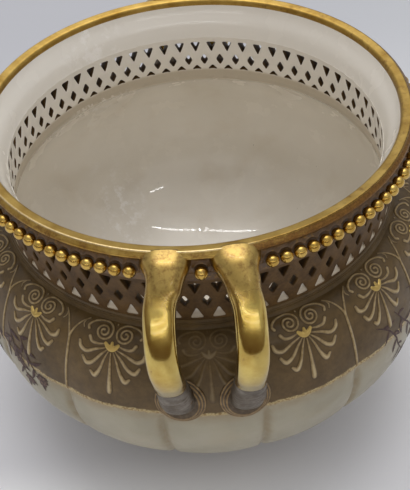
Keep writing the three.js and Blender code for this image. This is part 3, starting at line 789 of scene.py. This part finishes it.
MIDDLE_STROKES = [
    [(0, 14.2, 0.6, 0.35), (0, 18.5, 0.85, 0.5), (0, 25.0, 1.2, 0.6), (0, 31.0, 1.7, 0.7),
     (0, 32.6, 1.5, 0.6)],
    [(0, 1.2, 0.7, 0.4), (0, 1.5, 0.7, 0.4)],
]
BUD_STROKES = [
    [(-2.9, 10.4, 0.9, 0.6), (-1.6, 11.7, 1.3, 0.8), (0, 12.3, 1.5, 0.95), (1.6, 11.7, 1.3, 0.8),
     (2.9, 10.4, 0.9, 0.6)],
    [(0, 9.7, 0.8, 0.6), (0, 12, 1.3, 0.9)],
]
PALMETTE_STROKES = SIDE_STROKES + mirrored(SIDE_STROKES) + MIDDLE_STROKES
RIB_SIDE = [(0, 13, 0.9, 0.5), (1.3, 9, 0.85, 0.45), (3.4, 5, 0.8, 0.4), (6.2, 2.0, 0.7, 0.35)]
RIB_STROKES = [
    [(0, 42, 0.7, 0.15), (0, 38, 1.0, 0.5), (0, 28, 1.05, 0.6), (0, 18, 1.0, 0.55), (0, 12, 0.95, 0.5)],
    RIB_SIDE,
    *mirrored([RIB_SIDE]),
]
STROKE_SPREAD = 1.15
RELIEF_SINK = 0.04
BETWEEN_HANDLES_PAINT = 0.18
RELIEF_PITCH = 0.3


class Relief:
    """A patch of raised strokes in a panel's own coordinates, to be laid on the pot at any angle."""

    def __init__(self, strokes, gilded_strokes, half_width, length):
        across = np.arange(-half_width, half_width + RELIEF_PITCH, RELIEF_PITCH)
        down = np.arange(-0.6, length, RELIEF_PITCH)
        self.across, self.down = (grid.ravel() for grid in np.meshgrid(across, down))
        plain = relief_height(self.across, self.down, strokes)
        gilded = relief_height(self.across, self.down, gilded_strokes)
        self.height = np.maximum(plain, gilded)
        self.gilded = np.clip(gilded / 0.3, 0, 1)
        faces = grid_faces(len(down), len(across))[:, ::-1]
        raised = (self.height[faces] > 0.5 * RELIEF_SINK).any(axis=1)
        kept = faces[raised & (self.down[faces] > -0.3).all(axis=1)]
        used = np.unique(kept)
        renumbered = np.full(len(self.height), -1)
        renumbered[used] = np.arange(len(used))
        self.faces = renumbered[kept]
        self.across, self.down, self.height, self.gilded = (
            numbers[used] for numbers in (self.across, self.down, self.height, self.gilded)
        )

    def lay(self, name, angles, paint=1.0):
        """One mesh of the relief at each of the angles. paint is the strength of its colour and height."""
        radius = skin(self.down)[0]
        count = len(self.down)
        lift = self.height * math.sqrt(paint) - RELIEF_SINK
        points = [on_skin(self.down, angle + self.across / radius, lift) for angle in angles]
        faces = np.concatenate([self.faces + i * count for i in range(len(angles))])
        values = {
            "down": np.tile(self.down, len(angles)),
            "raised": np.tile(np.clip(self.height / 0.7, 0, 1), len(angles)),
            "gilded": np.tile(self.gilded * paint, len(angles)),
            "paint": np.full(count * len(angles), paint),
        }
        return put_mesh(name, np.concatenate(points), faces, [SHOULDER], values=values, closed=False)


def palmettes():
    relief = Relief(PALMETTE_STROKES, BUD_STROKES, 17, 35)
    for panel in range(PANELS):
        paint = BETWEEN_HANDLES_PAINT if panel in (0, PANELS // 2) else 1.0
        piece = relief.lay(f"palmette_relief_{panel + 1:02d}", [panel * PANEL], paint)
        stand_for(piece, "relief_blush", f"palmette_{panel + 1:02d}")


def ribs():
    relief = Relief(RIB_STROKES, [], 8, 43)
    piece = relief.lay("shoulder_ribs", (np.arange(PANELS) + 0.5) * PANEL)


# Turned pieces


def turned(name, profile, columns, material, **row_values):
    """A closed ring turned from (radius, depth) points, with named values for the points of the profile."""
    profile = np.asarray(profile, float)
    points = on_ring(profile[:, :1], profile[:, 1:], full_turn(columns))
    faces = grid_faces(len(profile), columns, closed_rows=True, closed_columns=True)
    values = {key: np.repeat(numbers, columns) for key, numbers in row_values.items()}
    return put_mesh(name, points, faces, [material], values=values, crease=60)


def rim():
    """The gilt lip: a flat band that rises to a pale edge of rubbing and painted highlight, and a browner
    side that falls away outside it.
    """
    section = [
        (-1.0, 3.55), (-0.95, 1.9), (-0.65, 1.0), (0, 0.55), (1.5, 0.28), (2.7, 0.08), (3.3, 0), (3.7, 0.12),
        (3.95, 0.55), (4.4, 0.95), (5.0, 1.35), (5.4, 1.9), (5.5, 2.5), (5.2, 3.1), (4.6, 3.5),
        (4.1, RIM_UNDERSIDE), (2, RIM_UNDERSIDE),
    ]
    profile = rounded([(MOUTH_RADIUS + out, depth) for out, depth in section], 0.4, 3)
    radius, depth = profile.T
    edge = hump(np.hypot(radius - MOUTH_RADIUS - 3.6, depth - 0.15), 0.38)
    side = smoothstep(0.25, 0.7, depth) * (radius > MOUTH_RADIUS + 2)
    piece = turned("rim_lip", profile, 720, RIM_GILT, edge=edge, side=side)
    stand_for(piece, "gilt", "rim_band")


BEADS_ON_RIGHT = np.linspace(BEAD_END_ANGLE, math.pi - BEAD_END_ANGLE, BEADS_PER_SIDE)
BEAD_RUNS = [
    ("beads_right", BEADS_ON_RIGHT, "bead_row_right"),
    ("beads_left", BEADS_ON_RIGHT + math.pi, "bead_row_left"),
    ("bead_between_front", [0], "bead_front_centre"),
    ("bead_between_rear", [math.pi], "bead_rear_centre"),
]
CUP_RADIUS = 3.0
CUP_DEPTH = 0.6
COLLAR_END = COLLAR_BOTTOM + 0.4
COLLAR_COLUMNS = 1344


def collar():
    """The coved ring, with a raised rim round the cup of each bead."""
    seat = BEAD_SEAT_RADIUS + 0.2
    outside = [
        (COLLAR_FOOT_RADIUS, COLLAR_END), (COLLAR_FOOT_RADIUS, LEDGE_DEPTH + 2.2),
        (MOUTH_RADIUS + 2, LEDGE_DEPTH + 1.2), (MOUTH_RADIUS + 3.4, LEDGE_DEPTH + 0.3), (seat, 11.2),
        (seat, 7.2), (MOUTH_RADIUS + 3.3, 5.4), (MOUTH_RADIUS + 4.2, 3.6),
    ]
    inside = [(RIM_INNER, 3.5), (RIM_INNER - 1.4, 7), (RIM_INNER - 4.4, 13), (GALLERY_INNER_TOP, COLLAR_END)]
    outer = curve_through(rounded(outside, 0.8), 0.45, place=2)
    inner = curve_through(inside, 1.2, place=2)
    angles = full_turn(COLLAR_COLUMNS)
    away = angles[:, None] - np.concatenate([beads for _, beads, _ in BEAD_RUNS])
    nearest = np.min(np.abs((away + math.pi) % (2 * math.pi) - math.pi), axis=1)
    under = outer[:, 1:] - BEAD_DEPTH
    distance = np.hypot(nearest[None, :] * BEAD_SEAT_RADIUS, under)
    crest = hump(distance - CUP_RADIUS, 0.36)
    dish = CUP_DEPTH * (1 - smoothstep(0.8, 2.8, distance))
    gilded = smoothstep(0.9, 2.2, under) * hump(distance - CUP_RADIUS - 0.1, 0.5)

    outer_points = on_ring(outer[:, :1] + crest - dish, outer[:, 1:], angles)
    inner_points = on_ring(inner[:, :1], inner[:, 1:], angles)
    rows = np.concatenate([outer_points, inner_points])
    none = np.zeros((len(inner), COLLAR_COLUMNS))
    values = {"raised": np.concatenate([crest, none]), "gilded": np.concatenate([gilded, none])}
    faces = grid_faces(len(rows), COLLAR_COLUMNS, closed_rows=True, closed_columns=True)
    face_materials = (faces[:, 0] // COLLAR_COLUMNS >= len(outer)).astype(int)
    piece = put_mesh("collar_ring", rows, faces, [COLLAR, CREAM], face_materials, values, crease=60)
    stand_for(piece, "cove_brown", "rim_collar")


def bead_run(name, angles, node):
    """Round beads in their cups, each a little different from the next."""
    turns = np.radians(np.linspace(-90, 90, 13))
    sides = full_turn(20)
    ball = grid_faces(len(turns), len(sides), closed_columns=True)
    points, faces, tops = [], [], []
    for i, angle in enumerate(angles):
        size = BEAD_RADIUS * (1 + randomness.uniform(-0.03, 0.02))
        slip = randomness.uniform(-0.12, 0.12)
        along = (angle + (slip + size * np.sin(turns)) / BEAD_RING_RADIUS)[:, None]
        reach = size * np.cos(turns)[:, None]
        radius, depth = BEAD_RING_RADIUS + reach * np.cos(sides), BEAD_DEPTH + reach * np.sin(sides)
        points.append(on_ring(radius, depth, along).reshape(-1, 3))
        faces.append(ball + i * len(turns) * len(sides))
        tops.append(0.2 * smoothstep(0.5, 1.0, -np.cos(turns)[:, None] * np.sin(sides + 0.5)))
    values = {"worn": np.concatenate(tops)}
    piece = put_mesh(name, np.concatenate(points), np.concatenate(faces), [BEAD_GILT], values=values)
    stand_for(piece, "gilt", node)


def moulding():
    """A thin thread at the foot of the gallery, and the cove that leads from it to the shoulder."""
    thread = np.radians(np.linspace(100, -40, 8))
    steps = [
        (0.1, -0.05), (1.1, -0.02), (1.4, 0.6),
        *((1.65 + 0.4 * math.cos(t), 1.6 - 0.4 * math.sin(t)) for t in thread),
        (2.15, 2.6), (2.6, 3.3), (3.15, 3.95), (0.1, 3.95),
    ]
    section = [(MOULDING_INNER + out, GALLERY_BOTTOM + down) for out, down in steps]
    stand_for(turned("shoulder_cord", section, 512, SHOULDER), "bronzed", "shoulder_moulding")


def foot():
    """The ring to stand on, from points given as distances out from its radius and up from the floor."""
    steps = [
        (-8.8, 0), (-0.8, 0), (0, 0.8), (-0.1, 2.6), (-1.6, 4.6), (-4.6, 6.8), (-6, 8.15), (-15, 8.15),
        (-14.2, 6), (-11.4, 2.6), (-8.8, 0),
    ]
    section = [(FOOT_RADIUS + out, HEIGHT - up) for out, up in steps]
    stand_for(turned("foot", rounded(section, 0.7, 3)[:-1], 256, CREAM), "ivory_glaze", "foot_ring")


# Pierced gallery


def hole(corners, corner_radius, grow):
    """A closed outline with rounded corners, grown outwards."""
    corners = np.asarray(corners, float)
    outline = rounded(np.vstack([corners[-1:], corners, corners[:1]]), corner_radius, 4)[1:-1]
    along = unit(np.roll(outline, -1, axis=0) - outline) + unit(outline - np.roll(outline, 1, axis=0))
    outward = unit(np.stack([along[:, 1], -along[:, 0]], axis=-1))
    if np.sum((outline - outline.mean(axis=0)) * outward) < 0:
        outward = -outward
    return outline + grow * outward


def trellis_outlines(share):
    """The corners of both triangles and the diamond, at a share of the wall from outside.

    The diamonds come out a little lower on the inside. The sill of each lower triangle rises to a crest in
    the wall, so that from outside it is seen as a pale slope.
    """
    upper_base = GALLERY_TOP + TRELLIS_TOP_MARGIN + 0.2 * share
    upper_tip = upper_base + TRIANGLE_HEIGHT
    diamond_top = GALLERY_TOP + TRELLIS_TOP_MARGIN + TRIANGLE_HEIGHT + TRELLIS_STEP + 1.1 * share
    middle = diamond_top + DIAMOND_HEIGHT / 2
    diamond_bottom = diamond_top + DIAMOND_HEIGHT
    lower_tip = diamond_bottom + TRELLIS_STEP - 0.5 * share
    lower_base = lower_tip + np.interp(share, SILL_SHARES, SILL_DROPS)
    side = TRIANGLE_WIDTH / 2
    reach = DIAMOND_WIDTH / 2
    upper = [(0, upper_tip), (-side, upper_base), (side, upper_base)]
    lower = [(0, lower_tip), (side, lower_base), (0, lower_base - 0.5 * share), (-side, lower_base)]
    diamond = [(0, diamond_top), (reach, middle), (0, diamond_bottom), (-reach, middle)]
    return upper, lower, diamond


HALF_COLUMN = math.pi * TRELLIS_RADIUS / GALLERY_COLUMNS
HOLE_CORNER = 1.1
HOLE_EDGE = 0.5
EDGE_SHARES = ((1, 0), (0.45, 0.12), (0.12, 0.45), (0, 1))
EDGE_STEPS = [(HOLE_EDGE * grow, HOLE_EDGE * inset) for grow, inset in EDGE_SHARES]


def gallery_layers():
    """How far the holes are grown, the inset and the share of the wall, from the outer face to the inner."""
    outer = [(grow, inset, 0) for grow, inset in EDGE_STEPS]
    inner = [(grow, -inset, 1) for grow, inset in EDGE_STEPS[::-1]]
    return [*outer, (0, 0, SILL_CREST), (0, 0, SILL_CREST + 0.03), *inner]


def half_diamond(outline, side):
    """The diamond's half at one border of a column, from its top to its bottom."""
    kept = outline[outline[:, 0] > -1e-9] if side > 0 else outline[outline[:, 0] < 1e-9]
    return kept[np.argsort(kept[:, 1])] + (-side * HALF_COLUMN, 0)


def column_loops(grow, share):
    """A column's border, notched by half a diamond at each side, and its two triangles."""
    upper, lower, diamond = (hole(corners, HOLE_CORNER, grow) for corners in trellis_outlines(share))
    left, right = half_diamond(diamond, 1), half_diamond(diamond, -1)
    left_side = [(-HALF_COLUMN, GALLERY_TOP)], left, [(-HALF_COLUMN, GALLERY_BOTTOM)]
    right_side = [(HALF_COLUMN, GALLERY_BOTTOM)], right[::-1], [(HALF_COLUMN, GALLERY_TOP)]
    return [np.vstack([*left_side, *right_side]), upper, lower]


def flat_faces(loops):
    return tessellate_polygon([[Vector((x, -y, 0)) for x, y in loop] for loop in loops])


def column_faces(layers):
    """A column's outer and inner face, the sides of its holes, and its top and bottom edge."""
    lengths = [len(loop) for loop in layers[0]]
    starts = np.cumsum([0, *lengths])
    size = starts[-1]
    notch = (lengths[0] - 4) // 2
    in_border = [*range(1, notch), notch + 1, *range(notch + 3, 2 * notch + 2), 2 * notch + 3]
    last = (len(layers) - 1) * size
    faces = [tuple(face) for face in flat_faces(layers[0])]
    faces += [tuple(last + i for i in face[::-1]) for face in flat_faces(layers[-1])]
    for layer in range(len(layers) - 1):
        for loop, length in enumerate(lengths):
            for i in range(length) if loop else in_border:
                a = layer * size + starts[loop] + i
                b = layer * size + starts[loop] + (i + 1) % length
                faces.append((a, b, b + size, a + size))
    return faces


def gallery():
    """The trellis: the edges of its holes are rounded towards both faces of the wall."""
    rings = gallery_layers()
    layers = [column_loops(grow, share) for grow, _, share in rings]
    one_column = column_faces(layers)
    turn, depth = np.vstack([np.vstack(loops) for loops in layers]).T
    size = len(depth) // len(layers)
    inset, through = (np.repeat(column, size) for column in list(zip(*rings))[1:])
    share = (depth - GALLERY_TOP) / (GALLERY_BOTTOM - GALLERY_TOP)
    outer_radius = blend(GALLERY_TOP_RADIUS, GALLERY_BOTTOM_RADIUS, share)
    inner_radius = blend(GALLERY_INNER_TOP, GALLERY_INNER_BOTTOM, share)
    radius = blend(outer_radius, inner_radius, through) - inset

    creamed = np.where(through == 1, 1 + inset / HOLE_EDGE, 0.0)
    for ring in range(2, 5):
        last = (ring + 1) * size
        sill = slice(last - len(layers[0][-1]), last)
        creamed[sill] = depth[sill] > blend(depth[sill].min(), depth[sill].max(), 0.3)
    # Painted shade is put on the middle of the holes' walls.
    painted_hole_shade = np.where((through > 0) & (through < 1), 1.0, 0.0)

    points, faces = [], []
    for column in range(GALLERY_COLUMNS):
        angle = GALLERY_TURN + 2 * math.pi * column / GALLERY_COLUMNS + turn / TRELLIS_RADIUS
        points.append(on_ring(radius, depth, angle))
        faces += [tuple(i + column * len(depth) for i in face) for face in one_column]
    values = {"inner": np.tile(creamed, GALLERY_COLUMNS), "painted_hole_shade": np.tile(painted_hole_shade, GALLERY_COLUMNS)}
    piece = put_mesh("trellis_wall", np.concatenate(points), faces, [GALLERY], values=values, crease=60)
    stand_for(piece, "bronzed", "pierced_gallery")


# Handles


def handle_line(side):
    """Closely spaced points along a front handle's middle. side is 1 for the right and -1 for the left."""
    radius, depth, _ = (float(number) for number in skin(SEAT_DOWN))
    seat = (side * radius * math.sin(SEAT_ANGLE), -radius * math.cos(SEAT_ANGLE), HEIGHT - depth)
    rim_edge = (0, -RIM_OUTER, HEIGHT)
    points = [
        (x + side * sideways, y - out, z - down)
        for (x, y, z), path in ((rim_edge, PATH_FROM_RIM), (seat, PATH_FROM_SEAT))
        for out, down, sideways in path
    ]
    return curve_through(points, 0.5)


SWEEP_SIDES = 48
AROUND = full_turn(SWEEP_SIDES)


def superoval(numbers):
    """Sines or cosines bent so that an oval of them is squarer."""
    return np.sign(numbers) * np.abs(numbers) ** (2 / SQUARENESS)


def sweep(name, line, width, thickness, swell, material, turn, values):
    """A smooth bar along a line, turned about the pot. swell is a share for each point of each section."""
    along = unit(np.gradient(line, axis=0))
    side = unit(np.array([1.0, 0, 0]) - along * along[:, :1])
    up = np.cross(along, side)
    grow = (1 + swell) / 2
    across = width[:, None] * superoval(np.cos(AROUND)) * grow
    out = thickness[:, None] * superoval(np.sin(AROUND)) * grow
    points = line[:, None, :] + side[:, None, :] * across[..., None] + up[:, None, :] * out[..., None]
    points = points @ np.array(Matrix.Rotation(turn, 3, "Z")).T
    rows, columns = points.shape[:2]
    ends = np.stack([points[0].mean(axis=0), points[-1].mean(axis=0)])
    faces = [list(face) for face in grid_faces(rows, columns, closed_columns=True)]
    first, last = rows * columns, rows * columns + 1
    for i in range(columns):
        following = (i + 1) % columns
        faces.append([first, following, i])
        faces.append([last, (rows - 1) * columns + i, (rows - 1) * columns + following])
    values = {key: np.concatenate([numbers.ravel(), [0, 0]]) for key, numbers in values.items()}
    return put_mesh(name, np.vstack([points.reshape(-1, 3), ends]), faces, [material], values=values)


def uneven(line, size, amount):
    """Slow random swelling along and round a handle, as soft clay has."""
    around = [Vector((math.cos(a), math.sin(a), 0)) for a in AROUND]
    rows = [[noise.noise(Vector(point / size) + step) for step in around] for point in line]
    return amount * np.array(rows)


def loop_mesh(name, line, run, turn):
    """A gilt loop, which narrows from its flange and has a lip on its right."""
    narrowed = 1 - np.exp(-((run / FLARE_REACH) ** 2.5))
    past_lip = run[:, None] - LIP_PLACE
    lip = np.where(past_lip < 0, hump(past_lip, 4.5), hump(past_lip, 2.2)) * np.clip(np.cos(AROUND), 0, 1)
    worn = 0.5 * lip + 0.5 * (1 - narrowed)[:, None] * np.abs(np.cos(AROUND)) ** 1.5
    matt = np.repeat(1 - smoothstep(MATT_START, MATT_END, run), SWEEP_SIDES)
    raised_line = line + np.outer(1 - narrowed, [0, 0, FLANGE_RISE])
    width = blend(FLANGE_WIDTH, LOOP_WIDTH, narrowed)
    thickness = blend(FLANGE_HEIGHT, LOOP_THICKNESS, narrowed)
    swell = LIP_SWELL * lip + uneven(line, 9, 0.015)
    return sweep(name, raised_line, width, thickness, swell, GILT, turn, {"worn": worn, "matt": matt})


def cuff_mesh(name, line, run, turn):
    """A silvered cuff that widens towards its seat, with slanted creases on its right."""
    share = run / CUFF_LENGTH
    slanted = run[:, None] + 1.4 * np.cos(AROUND)
    creases = sum(hump(slanted - place, 0.5) for place in CREASE_PLACES)
    creases = creases * (0.25 + 0.75 * np.clip(np.cos(AROUND), 0, 1))
    width = blend(LOOP_WIDTH, CUFF_WIDTH, share)
    thickness = blend(LOOP_THICKNESS, CUFF_THICKNESS, share)
    swell = 0.06 * creases + uneven(line, 6, 0.03)
    return sweep(name, line, width, thickness, swell, SILVER, turn, {"worn": 0.14 * creases})


def seat_mesh(name, angle):
    """Concentric rounded ridges that follow the pot's skin."""
    section = np.array([
        (11.3, -1.0), (11.25, 0.1), (11.0, 0.6), (10.6, 0.75), (10.3, 0.6), (10.05, 0.75), (9.8, 1.2),
        (9.4, 1.4), (9.05, 1.25), (8.8, 1.4), (8.55, 1.95), (8.1, 2.2), (7.7, 2.05), (6.8, 1.9), (4.0, 1.9),
        (0.0, 1.9),
    ])
    crest = np.array([0, 0.3, 0.8, 1, 0.3, 0.2, 0.8, 1, 0.3, 0.2, 0.8, 1, 0.3, 0, 0, 0])
    around = full_turn(72)
    reach, lift = section[:, :1], section[:, 1:]
    down = SEAT_DOWN + reach * np.sin(around)
    across = reach * np.cos(around)
    points = on_skin(down, angle + across / skin(SEAT_DOWN)[0], lift)
    faces = grid_faces(len(section), len(around), closed_columns=True)
    values = {"raised": np.repeat(crest, len(around))}
    return put_mesh(name, points, faces, [SEAT_LUSTRE], values=values, closed=False)


def handle(end, side):
    """A loop with its flange, its cuff and its ridged seat."""
    sign = 1 if side == "right" else -1
    turn = 0 if end == "front" else math.pi
    line = handle_line(sign)
    run = distances(line)
    cuff_start = run[-1] - CUFF_LENGTH
    on_loop = run <= cuff_start + 0.1
    loop = loop_mesh(f"loop_{end}_{side}", line[on_loop], run[on_loop], turn)
    stand_for(loop, "gilt", f"handle_loop_{end}_{side}")

    skin_radius, skin_depth, _ = skin(np.linspace(0, 100, 400))
    inner_radius = np.interp(HEIGHT - line[:, 2], skin_depth, skin_radius) - CUFF_ROOT
    on_cuff = (run >= cuff_start - 0.1) & (np.hypot(line[:, 0], line[:, 1]) > inner_radius)
    cuff = cuff_mesh(f"cuff_{end}_{side}", line[on_cuff], run[on_cuff] - cuff_start, turn)
    stand_for(cuff, "silvered", f"handle_cuff_{end}_{side}")

    seat = seat_mesh(f"seat_{end}_{side}", turn + sign * SEAT_ANGLE)
    stand_for(seat, "silvered", f"handle_seat_{end}_{side}")


# Painted foliage


def leaf(points, half_width):
    """A pointed leaf along (across, down) points on the skin: the places of its strip, and its core."""
    line = curve_through(points, 0.6, place=2)
    along = unit(np.gradient(line, axis=0))
    share = np.linspace(0, 1, len(line))
    reach = half_width * np.sin(math.pi * share**0.8) ** 0.9 + 0.12
    offsets = np.linspace(-1, 1, 5)
    normal = np.stack([-along[:, 1], along[:, 0]], axis=-1)
    places = line[:, None, :] + normal[:, None, :] * (reach[:, None] * offsets)[..., None]
    core = (1 - np.abs(offsets)) * smoothstep(0.6, 1.6, reach)[:, None]
    return places, core


def ahead(place, direction, reach):
    return place[0] + reach * math.cos(direction), place[1] + reach * math.sin(direction)


def stem(chance, start, length, heading):
    """The points of a wavering stem, and its last direction."""
    points = [(start, 25 + chance.uniform(0, 5))]
    direction = math.radians(58 - heading)
    for _ in range(8):
        direction += math.radians(chance.uniform(-14, 14))
        points.append(ahead(points[-1], direction, length / 8))
    return points, direction


def stem_leaf(chance, root, direction, side):
    """A bent leaf that stands off from its stem on one side."""
    swing = direction + side * math.radians(chance.uniform(40, 65))
    size = chance.uniform(5.5, 9.5)
    bend = swing + math.radians(chance.uniform(-25, 25))
    middle = ahead(root, swing, 0.5 * size)
    return leaf([root, middle, ahead(middle, bend, 0.5 * size)], chance.uniform(0.6, 1.3))


def petal(chance, heart, number):
    swing = math.radians(60 * number + chance.uniform(-8, 8))
    return leaf([heart, ahead(heart, swing, 2), ahead(heart, swing, 4)], 1.3)


def spray(name, angle, seed):
    """Stems with alternate pointed leaves and small open flowers, painted on the lower belly."""
    chance = random.Random(seed)
    strips = []
    for start, length, heading in ((-24, 42, 30), (-10, 36, -10), (4, 30, 24), (14, 26, 6)):
        points, direction = stem(chance, start, length, heading)
        strips.append(leaf(points, 0.35))
        for i, root in enumerate(points[1:]):
            strips.append(stem_leaf(chance, root, direction, 1 if i % 2 else -1))
        strips += [petal(chance, points[-1], number) for number in range(6)]
    points, faces, count = [], [], 0
    for places, core in strips:
        across, down = places[..., 0], places[..., 1]
        points.append(on_skin(down, angle + across / BELLY_RADIUS, 0.09 + 0.002 * len(points)).reshape(-1, 3))
        faces.append(grid_faces(*core.shape)[:, ::-1] + count)
        count += core.size
    values = {"core": np.concatenate([core.ravel() for _, core in strips])}
    points, faces = np.concatenate(points), np.concatenate(faces)
    piece = put_mesh(name, points, faces, [FOLIAGE], values=values, closed=False)


SPRAYS = (("left", -56, 3), ("right", 52, 5), ("rear_left", -128, 8), ("rear_right", 124, 13))

pot()
ribs()
palmettes()
rim()
collar()
for name, angles, node in BEAD_RUNS:
    bead_run(name, angles, node)
gallery()
moulding()
foot()
for end in ("front", "rear"):
    for side in ("right", "left"):
        handle(end, side)
for name, degrees, seed in SPRAYS:
    spray(f"painted_spray_{name}", math.radians(degrees), seed)


# Floor, light and camera


FLOOR_REACH = 3.0
STUDIO_STRENGTH = 0.87
SKYLIGHT_GLOW = 2.4
BACKDROP = (212, 214, 219)
SKY = [
    (0.1, (118, 100, 84)), (0.22, (130, 112, 96)), (0.29, (148, 134, 118)),
    (0.36, (172, 162, 152)), (0.41, (220, 216, 210)), (0.44, (238, 236, 232)),
    (0.475, (238, 236, 234)), (0.53, (186, 185, 184)), (0.66, (180, 180, 182)),
    (0.8, (214, 215, 218)), (0.92, (250, 251, 255)), (1.0, (255, 255, 255)),
]
SKYLIGHT = [(0.86, (0, 0, 0)), (0.985, (255, 253, 250))]
LAMPS = 18
LAMP_SPAN = 0.96
LAMP_HEIGHT = 1.6
IN_THE_BOWL = (0, 0.06, 0.03)
AT_THE_HANDLES = (0, -0.13, 0.15)


def stage_floor():
    mesh = bpy.data.meshes.new("floor")
    corners = [(x * FLOOR_REACH, y * FLOOR_REACH, 0) for x, y in ((-1, -1), (1, -1), (1, 1), (-1, 1))]
    mesh.from_pydata(corners, [], [(0, 1, 2, 3)])
    mesh.materials.append(floor_paper())
    put("floor", mesh)


def studio_world():
    """A studio with a skylight above the pot, dim low in front, and plain and pale to the camera."""
    world = bpy.data.worlds.new("studio")
    bpy.context.scene.world = world
    world.use_nodes = True
    studio = Nodes(world.node_tree)
    direction = studio.node("ShaderNodeTexCoord").outputs["Generated"]
    parts = studio.node("ShaderNodeSeparateXYZ", Vector=direction).outputs
    height, front = parts["Z"], studio.times(parts["Y"], -1)
    slant = studio.maths("MULTIPLY_ADD", parts["X"], 0.12, height)
    slant = studio.maths("MULTIPLY_ADD", front, -0.35, slant)
    sky = studio.ramp(studio.maths("MULTIPLY_ADD", slant, 1 / 1.6, 0.5 / 1.6), *SKY)
    upward = studio.maths("MULTIPLY_ADD", front, -0.34, studio.times(height, 0.94))
    skylight = studio.ramp(upward, *SKYLIGHT, interpolation="EASE")
    light = studio.mix(SKYLIGHT_GLOW, sky, skylight, blend_type="ADD", clamp_factor=False)
    to_camera = studio.node("ShaderNodeLightPath").outputs["Is Camera Ray"]
    background = studio.tree.nodes["Background"].inputs
    studio.feed(background["Color"], studio.mix(to_camera, light, BACKDROP))
    studio.feed(background["Strength"], STUDIO_STRENGTH)


def soft_light(name, place, aim, size, power):
    lamp = bpy.data.lights.new(name, "AREA")
    lamp.shape = "RECTANGLE"
    lamp.size, lamp.size_y = size
    lamp.energy = power
    light = put(name, lamp)
    light.location = place
    light.rotation_euler = (Vector(aim) - Vector(place)).to_track_quat("-Z", "Y").to_euler()


def lamp_row():
    """Small lamps over the pot, whose row glints in the bowl, and one more beside it."""
    for i in range(LAMPS):
        share = i / (LAMPS - 1) - 0.5
        back = 0.35 * max(-share, 0) - 0.3 * share**2
        place = (share * LAMP_SPAN, back, LAMP_HEIGHT + randomness.uniform(-0.004, 0.004))
        size = (0.018 + randomness.uniform(-0.008, 0.01), 0.06 + randomness.uniform(-0.03, 0.02))
        soft_light(f"glint_{i + 1:02d}", place, IN_THE_BOWL, size, 0.06)
    soft_light("glint_beside", (0.6, -0.843, 1.46), (-0.029, 0.09, 0.045), (0.2, 0.03), 0.3)


def window_strips():
    """Two bright strips behind the viewer, seen in the handles."""
    for name, height, thickness, power in (("upper", 0.453, 0.01, 0.17), ("lower", 0.402, 0.007, 0.14)):
        soft_light(f"strip_{name}", (0, -0.6, height), AT_THE_HANDLES, (0.9, thickness), power)


def camera():
    data = bpy.data.cameras.new("camera")
    data.sensor_width = SENSOR
    data.lens = CAMERA_LENS
    data.clip_start = 0.01
    view = put("camera", data)
    right, up = Vector(CAMERA_RIGHT), Vector(CAMERA_UP)
    back = right.cross(up)
    turned_to = Matrix((right, up, back)).transposed().to_4x4()
    view.matrix_world = Matrix.Translation(CAMERA_PLACE) @ turned_to
    bpy.context.scene.camera = view


stage_floor()
studio_world()
lamp_row()
window_strips()
camera()
bpy.context.scene.view_settings.view_transform = "Standard"
